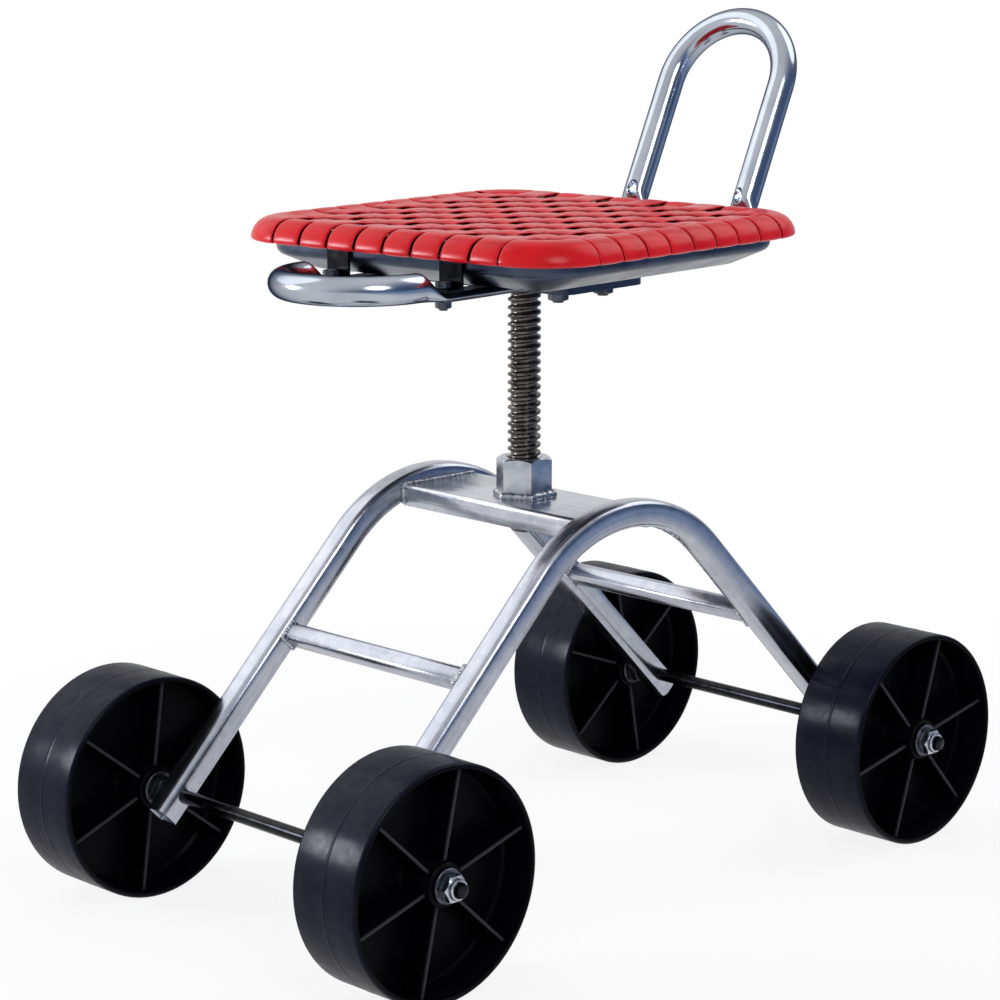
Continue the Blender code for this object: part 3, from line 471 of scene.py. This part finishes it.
# Arches: rounded square tube, up the front leg, round the bend and down the rear leg
foot_y, foot_z = AXLE_Y + LEG_PAST_AXLE * SLOPE, AXLE_Z - LEG_PAST_AXLE * SLOPE
leg = foot_y - BEND_RADIUS * SLOPE
arch = begin("arch", bpy.ops.mesh.primitive_plane_add, size=TUBE_SIDE * MM,
             location=Vector((0, -foot_y, foot_z)) * MM, rotation=(-math.pi / 4, 0, 0))
round_square(TUBE_CORNER, TUBE_SIDE / 2)
extrude(0, leg, leg)
spin(-90, 36, (0, 0, BEND_Z), (1, 0, 0))
extrude(0, leg, -leg)
tidy_shell()
thicken(arch, TUBE_WALL)
soften(arch, 0.4, angle=60)


def along_arch(p):
    """How far along the arch a point lies, how far across it, and how far out."""
    y, z = p.y, p.z - BEND_Z * MM
    turn = min(max(math.atan2(y, z), -math.pi / 4), math.pi / 4)
    return (BEND_RADIUS * MM * turn + y * math.cos(turn) - z * math.sin(turn), p.x,
            y * math.sin(turn) + z * math.cos(turn))


keep_place(arch, "grain", along_arch)
for name, side in (("left_arch", 1), ("right_arch", -1)):
    tube = copied(arch, name + "_tube", shifted(side * ARCH_X, 0, 0))
    settle(tube, GALVANISED, "frame", "galvanised_tube", name)
bpy.data.objects.remove(arch)

# Crossbars: lighter square tube between the legs
bar = begin("crossbar", bpy.ops.mesh.primitive_plane_add, size=CROSSBAR_SIDE * MM,
            location=(-SPAN_HALF * MM, 0, 0), rotation=(0, math.pi / 2, 0))
round_square(CROSSBAR_CORNER, CROSSBAR_SIDE / 2)
extrude(2 * SPAN_HALF, 0, 0)
tidy_shell()
thicken(bar, CROSSBAR_WALL)
soften(bar, 0.3, angle=60)
keep_place(bar, "grain", lambda p: p)
tilt = Matrix.Rotation(math.pi / 4, 4, "X")
for name, end in (("front_crossbar", -1), ("rear_crossbar", 1)):
    tube = copied(bar, name + "_tube", shifted(0, end * CROSSBAR_Y, CROSSBAR_Z) @ tilt)
    settle(tube, GALVANISED, "frame", "galvanised_tube", name)
bpy.data.objects.remove(bar)

# Plate between the arches: sheet folded down at the front and the rear
folds = [math.radians(a) for a in range(0, 91, 15)]
front = [(-PLATE_HALF, PLATE_BOTTOM)]
front += [(-PLATE_HALF + PLATE_SHEET * (1 - math.cos(a)), PLATE_TOP - PLATE_SHEET * (1 - math.sin(a)))
          for a in folds]
section = front + [(-y, z) for y, z in reversed(front)]
plate = draw("screw_plate_sheet", [(-SPAN_HALF, y, z) for y, z in section])
extrude(2 * SPAN_HALF, 0, 0)
tidy_shell()
face_out(lambda p, n: abs(p.y) < 10 and n.z < 0)
thicken(plate, PLATE_SHEET)
soften(plate, 0.4, angle=60)
keep_place(plate, "grain", lambda p: p)
settle(plate, GALVANISED_SHEET_PAINTED_LIGHTER, "frame", "galvanised_tube", "screw_plate")

# Lift nut: tall hexagon, turned to a cone at the top and countersunk
nut_middle = (0, 0, (NUT_BOTTOM + NUT_HEIGHT / 2) * MM)
nut = begin("lift_nut_hex", bpy.ops.mesh.primitive_cylinder_add, vertices=6, location=nut_middle,
            radius=NUT_ACROSS / 2 / math.cos(math.pi / 6) * MM, depth=NUT_HEIGHT * MM)
turning = begin("lift_nut_turning", bpy.ops.mesh.primitive_cylinder_add, vertices=96, location=nut_middle,
                radius=NUT_TURNED_RADIUS * MM, depth=NUT_HEIGHT * MM)
pick("FACE", lambda p, n: n.z > 0.9)
bpy.ops.mesh.inset(thickness=3.6 * MM)
pick("VERT", lambda p, n: p.z > NUT_BOTTOM + NUT_HEIGHT - 0.5 and p.xy.length > NUT_TURNED_RADIUS - 1.9)
bpy.ops.transform.translate(value=(0, 0, -2.2 * MM))
cut(nut, turning, "INTERSECT")
sink = begin("lift_nut_sink", bpy.ops.mesh.primitive_cone_add, vertices=64, radius1=11.2 * MM,
             radius2=14.2 * MM, depth=4 * MM, location=(0, 0, (NUT_BOTTOM + NUT_HEIGHT - 1.5) * MM))
cut(nut, sink, "DIFFERENCE")
soften(nut, 0.5, segments=3, angle=25)
settle(nut, ZINC, "frame", "bright_zinc", "lift_nut", angle=25)

# Lift screw: coarse right-hand thread with flat crests, one turn drawn as (radius, rise) and wound up
thread = [(9.7, 0.0), (9.7, 1.5), (9.9, 1.8), (11.6, 2.6), (11.95, 2.9), (12.0, 3.2), (12.0, 4.2),
          (11.95, 4.5), (11.6, 4.8), (9.9, 5.6), (9.7, THREAD_PITCH)]
screw = draw("lift_screw_thread", [(radius, 0, SCREW_BOTTOM - THREAD_PITCH + up) for radius, up in thread])
modify(screw, "SCREW", angle=2 * math.pi, screw_offset=THREAD_PITCH * MM, iterations=31, steps=32,
       render_steps=32, use_merge_vertices=True, merge_threshold=0.002 * MM)
reopen(screw)
bpy.ops.mesh.bisect(plane_co=(0, 0, SCREW_BOTTOM * MM), plane_no=(0, 0, 1), use_fill=True, clear_inner=True)
bpy.ops.mesh.select_all(action="SELECT")
bpy.ops.mesh.bisect(plane_co=(0, 0, SCREW_TOP * MM), plane_no=(0, 0, 1), use_fill=True, clear_outer=True)
tidy_shell()
settle(screw, OILED_STEEL, "seat", "dark_steel", "lift_screw", angle=40)

# Wheel: section of (radius, depth) from the bore over the dished face and the shoulder to a mould seam
half_section = [(5.3, 28.4), (5.9, 29.0), (14.0, 29.0), (15.0, 28.0), (16.6, 7.5), (17.4, 5.4), (19.6, 4.2),
                (22.0, 4.0), (68.0, 4.0), (71.4, 4.4), (73.6, 6.0), (74.3, 8.5), (75.6, 28.6), (75.9, 29.4),
                (76.4, 29.9), (77.0, 30.0)]
half_section += [(77.2 + 2.6 * math.sin(math.radians(a)), 27.4 + 2.6 * math.cos(math.radians(a)))
                 for a in range(15, 91, 15)]
half_section += [(79.8, 12.0), (79.8, 1.8), (79.8, 1.0), (79.95, 0.5)]
section = half_section + [(radius, -x) for radius, x in reversed(half_section)]
wheel = draw("wheel", [(x, 0, radius) for radius, x in section + section[:1]])
turn_round(96)
rib = begin("wheel_rib", bpy.ops.mesh.primitive_cube_add, size=MM,
            location=Vector((RIB_BASE + RIB_TOP, 0, RIB_INNER + RIB_OUTER)) / 2 * MM,
            scale=(RIB_TOP - RIB_BASE, RIB_THICK, RIB_OUTER - RIB_INNER))
pick("VERT", lambda p, n: p.x > RIB_TOP - 1)
resize(1, 0.8, 1, (RIB_TOP, 0, RIB_INNER))
pick("EDGE", lambda p, d: p.x > RIB_TOP - 1)
bpy.ops.mesh.bevel(offset=0.5 * MM, segments=2)
# Marks the rib's top for its painted highlight in the material
keep_place(rib, "rib_top_highlight", lambda p: (float(p.x / MM > RIB_TOP - 1),) * 3)
ribs = [copied(rib, "wheel_rib", Matrix.Rotation(face, 4, "Z")
               @ Matrix.Rotation(i * 2 * math.pi / RIB_COUNT, 4, "X"))
        for face in (0, -math.pi) for i in range(RIB_COUNT)]
bpy.data.objects.remove(rib)
wheel = joined("wheel", [wheel] + ribs)
keep_place(wheel, "wheel_place", lambda p: p)
for corner, side, end in CORNERS:
    roll = Matrix.Rotation(math.radians(WHEEL_ROLLS[corner]), 4, "X")
    copy = copied(wheel, f"wheel_{corner}_moulding", shifted(side * WHEEL_X, end * AXLE_Y, AXLE_Z) @ roll)
    settle(copy, WHEEL_PLASTIC, f"wheel_{corner}", "wheel_plastic", f"wheel_{corner}", angle=28)
bpy.data.objects.remove(wheel)

# Axles: black rod with chamfered ends
for name, end in (("front_axle", -1), ("rear_axle", 1)):
    rod = begin(name + "_rod", bpy.ops.mesh.primitive_cylinder_add, vertices=40, radius=AXLE_RADIUS * MM,
                depth=AXLE_LENGTH * MM, location=Vector((0, end * AXLE_Y, AXLE_Z)) * MM,
                rotation=(0, math.pi / 2, 0))
    pick("FACE", lambda p, n: abs(n.x) > 0.9)
    bpy.ops.mesh.bevel(offset=AXLE_CHAMFER * MM, segments=2)
    settle(rod, BLACK_STEEL_AND_PAINTED_SHADE, "frame", "dark_steel", name)

# Washers and lock nuts on the axle ends, as sections of (depth along the axle, radius)
washer = draw("washer", [(x, 0, radius) for x, radius in (
    (0, 5.3), (0, 11.6), (0.4, 12), (1.6, 12), (2, 11.6), (2, 5.3), (0, 5.3))])
turn_round(48)
lock_nut = begin("lock_nut", bpy.ops.mesh.primitive_cylinder_add, vertices=6, depth=LOCK_NUT_HEIGHT * MM,
                 radius=LOCK_NUT_ACROSS / 2 / math.cos(math.pi / 6) * MM,
                 location=(LOCK_NUT_HEIGHT / 2 * MM, 0, 0), rotation=(0, math.pi / 2, 0))
barrel = draw("lock_nut_barrel", [(x, 0, radius) for x, radius in (
    (0, 0), (0, 8.3), (0.8, 9.9), (5.6, 9.9), (LOCK_NUT_HEIGHT, 8.0), (LOCK_NUT_HEIGHT, 0))])
turn_round(64)
cut(lock_nut, barrel, "INTERSECT")
soften(lock_nut, 0.25, angle=25)
collar = draw("lock_nut_collar", [(x, 0, radius) for x, radius in (
    (6.5, 5.4), (6.5, 7.4), (8.6, 7.4), (9.5, 7.0), (10, 6.2), (9.9, 5.6), (9.4, 5.4), (6.5, 5.4))])
turn_round(64)
lock_nut = joined("lock_nut", [lock_nut, collar])
fasteners = (("inner_washer", washer, INNER_WASHER_X, DULL_ZINC),
             ("outer_washer", washer, OUTER_WASHER_X, DULL_ZINC),
             ("lock_nut", lock_nut, LOCK_NUT_X, ZINC))
for corner, side, end in CORNERS:
    outward = Matrix.Rotation(0 if side > 0 else math.pi, 4, "Z")
    for kind, piece, start, finish in fasteners:
        place = shifted(side * start, end * AXLE_Y, AXLE_Z) @ outward
        copy = copied(piece, f"{kind}_{corner}_turned", place)
        settle(copy, finish, "frame", "bright_zinc", f"{kind}_{corner}", angle=25)
bpy.data.objects.remove(washer)
bpy.data.objects.remove(lock_nut)


def eased(share):
    """An even share from 0 to 1, eased at both ends."""
    return share ** 2 * (3 - 2 * share)


def press_flat(centres, squeeze):
    """Extrude a tube's end ring through centres in mm while it is pressed to the flat arm's section."""
    width = thickness = 2 * LOOP_RADIUS
    for i, (here, there) in enumerate(zip(centres, centres[1:]), 1):
        left = 1 - eased(i / (len(centres) - 1))
        new_width = ARM_WIDTH + (2 * LOOP_RADIUS - ARM_WIDTH) * left
        new_thickness = ARM_THICKNESS + (2 * LOOP_RADIUS - ARM_THICKNESS) * left
        extrude(*(there - here))
        squeeze(new_width / width, new_thickness / thickness, there)
        width, thickness = new_width, new_thickness


def finish_loop(piece):
    """Close the end of half a loop and mirror it to the whole."""
    bpy.ops.mesh.edge_face_add()
    modify(piece, "MIRROR", use_axis=(True, False, False), merge_threshold=0.005 * MM)
    reopen(piece)


# Handle: polished tube, half of it drawn from the middle of the bend to the pressed end and then mirrored
bend_z = ARM_Z + HANDLE_RISE
handle = begin("handle_tube", bpy.ops.mesh.primitive_circle_add, vertices=40, radius=LOOP_RADIUS * MM,
               location=Vector((0, HANDLE_BEND_Y - ARM_X, bend_z)) * MM, rotation=(0, math.pi / 2, 0))
spin(90, 30, (0, HANDLE_BEND_Y, bend_z), (0, 0, 1))
flat_y = HANDLE_BEND_Y + HANDLE_PRESS
shares = [i / 10 for i in range(11)]
press_flat([Vector((ARM_X, HANDLE_BEND_Y + HANDLE_PRESS * share, ARM_Z + HANDLE_RISE * (1 - eased(share))))
            for share in shares], lambda w, t, c: resize(w, 1, t, c))
for way in (1, -1):
    pick("VERT", lambda p, n: p.y > flat_y - 0.1 and way * (p.z - ARM_Z) > 1.2)
    resize(1, 1, 0, (ARM_X, flat_y, ARM_Z + way * ARM_THICKNESS / 2))
pick("VERT", lambda p, n: p.y > flat_y - 0.1)
extrude(0, HANDLE_END_Y - flat_y, 0)
finish_loop(handle)
move(handle, TURNED)
settle(handle, POLISHED, "seat", "polished_tube", "handle_loop", angle=40)

# Backrest: the same tube, drawn upright from the middle of its bend, then leant back about its foot
back = begin("backrest_tube", bpy.ops.mesh.primitive_circle_add, vertices=40, radius=LOOP_RADIUS * MM,
             location=Vector((0, 0, BACK_BEND_Z + ARM_X)) * MM, rotation=(0, math.pi / 2, 0))
spin(-90, 30, (0, 0, BACK_BEND_Z), (0, -1, 0))
extrude(0, 0, BACK_PRESS_Z - BACK_BEND_Z)
shares = [i / 12 for i in range(13)]
press_flat([Vector((ARM_X, 0, BACK_PRESS_Z + (BACK_FLAT_Z - BACK_PRESS_Z) * share)) for share in shares],
           lambda w, t, c: resize(w, t, 1, c))
for way in (1, -1):
    pick("VERT", lambda p, n: p.z < BACK_FLAT_Z + 0.1 and way * p.y > 1.2)
    resize(1, 0, 1, (ARM_X, way * ARM_THICKNESS / 2, BACK_FLAT_Z))
pick("VERT", lambda p, n: p.z < BACK_FLAT_Z + 0.1)
extrude(0, 0, FOOT_BEND_Z - BACK_FLAT_Z)
spin(math.degrees(BACK_LEAN) - 90, 10, (0, -FOOT_BEND_RADIUS, FOOT_BEND_Z), (1, 0, 0))
extrude(0, -BACK_ARM * math.cos(BACK_LEAN), -BACK_ARM * math.sin(BACK_LEAN))
finish_loop(back)
for side in (1, -1):
    dent = begin("backrest_dent", bpy.ops.mesh.primitive_uv_sphere_add, segments=32, ring_count=20,
                 radius=MM, location=Vector((side * (ARM_X - 2), -9.0, BACK_PRESS_Z - 1)) * MM,
                 scale=(4.4, 8.0, 6.2))
    cut(back, dent, "DIFFERENCE")
soften(back, 0.8, segments=3, angle=40)
move(back, TURNED @ shifted(0, BACK_Y, ARM_Z) @ Matrix.Rotation(-BACK_LEAN, 4, "X"))
settle(back, POLISHED, "seat", "polished_tube", "backrest_loop", angle=40)

# Pan: pressed dish with a rounded wall
pan = begin("seat_pan_pressing", bpy.ops.mesh.primitive_cube_add, size=MM,
            location=(0, 0, (PAN_WALL + PAN_TOP) / 2 * MM),
            scale=(2 * PAN_HALF, 2 * PAN_HALF, PAN_TOP - PAN_WALL))
pick("EDGE", lambda p, d: abs(d.z) > 0.9)
bpy.ops.mesh.bevel(offset=PAN_CORNER * MM, segments=16)
pick("FACE", lambda p, n: n.z > 0.9)
bpy.ops.mesh.delete(type="FACE")
pick("FACE", lambda p, n: n.z < -0.9)
bpy.ops.mesh.inset(thickness=PAN_SLOPE * MM)
bpy.ops.transform.translate(value=(0, 0, (PAN_BOTTOM - PAN_WALL) * MM))
soften(pan, 4, segments=5, angle=15)
thicken(pan, PAN_SHEET)
move(pan, TURNED)
settle(pan, PRESSED, "seat", "pressed_steel", "seat_pan")


def strap(name, width, waist, crown, wave, over_end, under_end):
    """One woven strap along Y at x = 0: over the first crossing, under the next, and so on.

    The waist is its share of its width between the edges, and the crown is how far its middle stands above
    its edges there. The ends list (reach, level) from the edge inwards.
    The wave lists the height of its control points from the middle of a crossing that it goes over.
    """
    rows = [(-reach, level) for reach, level in over_end]
    first = -(STRAP_COUNT - 1) / 2 * STRAP_PITCH
    steps = len(wave) // 2
    for k in range(steps * (STRAP_COUNT - 1) + 1):
        rows.append((first + k * STRAP_PITCH / steps, STRAP_LEVEL + wave[k % len(wave)]))
    rows += [(reach, level) for reach, level in reversed(under_end)]
    piece = draw(name, [(-width / 2, y, z) for y, z in rows])
    inner = width / 2 - STRAP_EDGE
    for step in (STRAP_EDGE, inner, inner, STRAP_EDGE):
        extrude(step, 0, 0)
    tidy_shell()
    face_out(lambda p, n: abs(p.y) < 60 and n.z < 0)
    pick("VERT", lambda p, n: abs(p.x) > width / 2 - 1 and abs(p.y) > WEAVE_EDGE)
    bpy.ops.transform.shrink_fatten(value=-0.6 * MM)
    pick("VERT", lambda p, n: abs(p.x) < 1 and abs(p.y) > WEAVE_STEEP)
    bpy.ops.transform.shrink_fatten(value=0.3 * MM)
    pick("VERT", lambda p, n: abs(p.y) < WEAVE_EDGE)
    resize(waist, 1, 1, (0, 0, 0))
    pick("VERT", lambda p, n: abs(p.x) < 1 and abs(p.y) < WEAVE_LEVEL)
    bpy.ops.transform.translate(value=(0, 0, crown * MM))
    thicken(piece, STRAP_THICKNESS)
    smooth_all(piece, 2)

    def covered(p):
        """How far along it a point is from the middle of a crossing that it goes over: 1 is fully under."""
        at, last = (p.y / MM - first) / STRAP_PITCH, STRAP_COUNT - 1
        if at < 0:
            share = 0.0
        elif at < last:
            share = abs((at + 1) % 2 - 1)
        else:
            share = max(0.0, 1 - 2.5 * (at - last))
        return (share, share, share)

    # The material paints shade from this value, darkest where the strap runs under
    keep_place(piece, "covered", covered)
    return piece


# Woven seat: taut straps across, arched straps lengthwise that leave dark slits under their edges,
# each with the turns of its even and odd straps, its sizes, and where it leaves the edge over or under
weave = (("straps_lengthwise", (0, 180), 23.6, 0.96, 0.9, ARCHED, (125, 478.6), (126.5, 476.4)),
         ("straps_crosswise", (90, -90), 24.9, 0.86, 0.4, TAUT, (126.5, 477.0), (126.5, 476.4)))
for name, turns, width, waist, crown, wave, over, under in weave:
    whole = strap("strap", width, waist, crown, wave, WRAPPED + [over], WRAPPED + [under])
    short = strap("strap_short", width, waist, crown, wave, TUCKED + [over], TUCKED + [under])
    straps = []
    for i in range(STRAP_COUNT):
        at = (i - (STRAP_COUNT - 1) / 2) * STRAP_PITCH
        source = short if i in (0, STRAP_COUNT - 1) else whole
        across = shifted(at, 0, 0) if turns[0] == 0 else shifted(0, at, 0)
        turn = Matrix.Rotation(math.radians(turns[i % 2]), 4, "Z")
        straps.append(copied(source, "strap_copy", TURNED @ across @ turn))
    settle(joined(name, straps), STRAP_PLASTIC, "seat", "red_strap", "seat_weave", angle=60)
    bpy.data.objects.remove(whole)
    bpy.data.objects.remove(short)

# A smooth wrap round each corner
wrap_edge = WRAPPED + [(126.5, 478.4), (122, 477.2)]
wrap = draw("corner_wrap", [(reach, CORNER_CENTRE, z) for reach, z in wrap_edge])
spin(90, 10, (CORNER_CENTRE, CORNER_CENTRE, 0), (0, 0, 1))
tidy_shell()
face_out(lambda p, n: p.z > 478.5 and n.z < 0)
thicken(wrap, WRAP_THICKNESS)
smooth_all(wrap, 2)
wraps = [copied(wrap, "wrap_copy", TURNED @ Matrix.Rotation(i * math.pi / 2, 4, "Z")) for i in range(4)]
bpy.data.objects.remove(wrap)
settle(joined("corner_wraps", wraps), STRAP_PLASTIC, "seat", "red_strap", "seat_weave", angle=60)


def along(corners):
    """Points a ripple apart along a line of corners, in mm."""
    points = []
    for here, there in zip(corners, corners[1:]):
        here, there = Vector(here), Vector(there)
        count = max(1, round((there - here).length / RIPPLE_SPACING))
        points += [here.lerp(there, i / count) for i in range(count)]
    return points


def weld(name, corners, radius, *nodes):
    """A weld bead: overlapping ripples along a line of corners in mm, melted together."""
    points = along(corners)
    bead = begin(name, bpy.ops.mesh.primitive_uv_sphere_add, segments=14, ring_count=9, radius=radius * MM,
                 location=points[0] * MM)
    for i, (here, there) in enumerate(zip(points, points[1:])):
        bpy.ops.mesh.duplicate_move(TRANSFORM_OT_translate={"value": (there - here) * MM})
        swell = RIPPLES[i % len(RIPPLES)]
        resize(swell, swell, swell, there)
    modify(bead, "REMESH", mode="VOXEL", voxel_size=0.55 * MM)
    modify(bead, "SMOOTH", factor=0.5, iterations=9)
    settle(bead, WELD, "frame", "weld_metal", *nodes, angle=80)


# Welds: round the lift nut, at the ends of the plate and at the ends of the crossbars
hexagon = [(NUT_TURNED_RADIUS * math.sin(i * math.pi / 3), NUT_TURNED_RADIUS * math.cos(i * math.pi / 3),
            PLATE_TOP + 1.7) for i in range(7)]
weld("nut_weld_bead", hexagon, NUT_BEAD, "nut_weld")
for side, name in ((1, "left"), (-1, "right")):
    end = side * (SPAN_HALF - 0.2)
    over_plate = [(-36, 262), (-36, 273), (-34, 275), (34, 275), (36, 273), (36, 262)]
    weld(f"plate_weld_{name}", [(end, y, z) for y, z in over_plate], PLATE_BEAD)
    for y, place in ((-CROSSBAR_Y, "front"), (CROSSBAR_Y, "rear")):
        reach = CROSSBAR_SIDE * SLOPE - 0.6
        ring = [(end, y + reach, CROSSBAR_Z), (end, y, CROSSBAR_Z + reach), (end, y - reach, CROSSBAR_Z),
                (end, y, CROSSBAR_Z - reach), (end, y + reach, CROSSBAR_Z)]
        weld(f"{place}_crossbar_weld_{name}", ring, CROSSBAR_BEAD)

# Pieces that keep their solid: small fasteners, brackets, the flange plate and the hidden ring
# The brackets and the hidden ring take the near-black finish as painted shade under the pan, and the flange
# plate the pan's painted dark finish
KEPT_FINISHES = {"flange_plate": PRESSED, "seat_ring": BLACK_STEEL_AND_PAINTED_SHADE, "handle_bracket_left": BLACK_STEEL_AND_PAINTED_SHADE,
                 "handle_bracket_right": BLACK_STEEL_AND_PAINTED_SHADE}
for name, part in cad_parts.items():
    if part.hide_render:
        continue
    part.data.materials.clear()
    part.data.materials.append(KEPT_FINISHES.get(name, DULL_ZINC))
    merge = part.modifiers.new("merge", "WELD")
    merge.merge_threshold = 0.005 * MM
    bevel = part.modifiers.new("edges", "BEVEL")
    bevel.width = 0.35 * MM
    bevel.segments = 2
    bevel.limit_method = "ANGLE"
    bevel.angle_limit = math.radians(30)


# Floor, light and camera, in metres
WHITE = (1.0, 1.0, 1.0, 1.0)


def backdrop(tree, place, toward, low, high, ease, dim, bright):
    """What a backdrop shows: white to the camera, and in metal a grade from dim to bright along one way."""
    side = node(tree, "ShaderNodeVectorMath", {0: place, 1: toward}, operation="DOT_PRODUCT")
    grade = node(tree, "ShaderNodeMapRange", {"Value": side.outputs["Value"], "From Min": low,
                                              "From Max": high}, interpolation_type=ease)
    studio = node(tree, "ShaderNodeMix", {0: grade.outputs["Result"], 6: dim, 7: bright}, data_type="RGBA")
    path = node(tree, "ShaderNodeLightPath").outputs
    mirrored = node(tree, "ShaderNodeMath", {0: path["Is Glossy Ray"], 1: path["Is Transmission Ray"]},
                    operation="MAXIMUM").outputs[0]
    colour = node(tree, "ShaderNodeMix", {0: mirrored, 6: WHITE, 7: studio.outputs[2]}, data_type="RGBA")
    return path, mirrored, colour.outputs[2]


floor = begin("floor", bpy.ops.mesh.primitive_plane_add, size=40)
only(floor)
# White paper: it keeps the shadow near the wheels, and further out it is the white background
paper, tree, shader, place = begin_material("white_paper_sweep", Base_Color=shade("#F4F4F4"), Roughness=0.9)
path, mirrored, colour = backdrop(tree, place, (-0.72, -0.69, 0.0), -1.5, -0.4, "LINEAR",
                                  (0.26, 0.36, 0.56, 1.0), (0.92, 0.92, 0.92, 1.0))
reach = node(tree, "ShaderNodeVectorMath", {0: place}, operation="LENGTH")
far = node(tree, "ShaderNodeMapRange", {"Value": reach.outputs["Value"], "From Min": 0.40, "From Max": 0.9,
                                        "To Min": 0.86}, interpolation_type="SMOOTHSTEP")
seen = node(tree, "ShaderNodeMath", {0: path["Is Camera Ray"], 1: far.outputs["Result"]},
            operation="MULTIPLY")
shown = node(tree, "ShaderNodeMath", {0: seen.outputs[0], 1: mirrored}, operation="MAXIMUM")
white = node(tree, "ShaderNodeEmission", {"Color": colour, "Strength": 1.0})
mixed = node(tree, "ShaderNodeMixShader", {0: shown.outputs[0], 1: shader.outputs[0], 2: white.outputs[0]})
tree.links.new(mixed.outputs[0], tree.nodes["Material Output"].inputs["Surface"])
floor.data.materials.append(paper)

scene = bpy.context.scene
world = bpy.data.worlds.new("studio")
world.use_nodes = True
scene.world = world
tree = world.node_tree
# White to the camera; in metal it is white on the lamps' side and falls to a dim blue on the other
direction = node(tree, "ShaderNodeTexCoord").outputs["Generated"]
path, mirrored, colour = backdrop(tree, direction, (-0.78, -0.26, 0.57), -0.62, 0.50, "SMOOTHSTEP",
                                  (0.08, 0.13, 0.24, 1.0), (0.88, 0.88, 0.88, 1.0))
strength = node(tree, "ShaderNodeMapRange", {"Value": path["Is Diffuse Ray"], "To Min": 1.0,
                                             "To Max": 0.42})
tree.links.new(strength.outputs["Result"], tree.nodes["Background"].inputs["Strength"])
tree.links.new(colour, tree.nodes["Background"].inputs["Color"])


def lamp(name, place, aim, size, power, colour=(1.0, 1.0, 1.0)):
    """A soft round lamp at a place, turned to a point."""
    light = bpy.data.lights.new(name, "AREA")
    light.shape = "DISK"
    light.size = size
    light.energy = power
    light.color = colour
    holder = bpy.data.objects.new(name, light)
    scene.collection.objects.link(holder)
    holder.location = place
    holder.rotation_euler = (Vector(aim) - Vector(place)).to_track_quat("-Z", "Y").to_euler()


lamp("key_lamp", (-1.8, -0.7, 1.95), (0, 0, 0.3), 2.2, 12.0)
lamp("low_lamp", (-1.45, -1.75, 0.80), (0, 0, 0.25), 0.60, 28.0, (0.90, 0.92, 1.0))
lamp("right_lamp", (1.7, -0.7, 1.5), (0, 0, 0.3), 0.9, 11.0)
lamp("back_lamp", (0.5, 1.6, 1.95), (0, 0, 0.3), 1.8, 15.0)

azimuth, elevation, distance = math.radians(46.0), math.radians(11.33), 2.1694
target = Vector((-0.01205, -0.01249, 0.27125))
away = Vector((math.sin(azimuth) * math.cos(elevation), -math.cos(azimuth) * math.cos(elevation),
               math.sin(elevation)))
camera = bpy.data.objects.new("camera", bpy.data.cameras.new("camera"))
scene.collection.objects.link(camera)
camera.location = target + away * distance
camera.rotation_euler = (-away).to_track_quat("-Z", "Y").to_euler()
camera.data.lens = 108.09
camera.data.sensor_width = 36
scene.camera = camera
scene.view_settings.view_transform = "Standard"
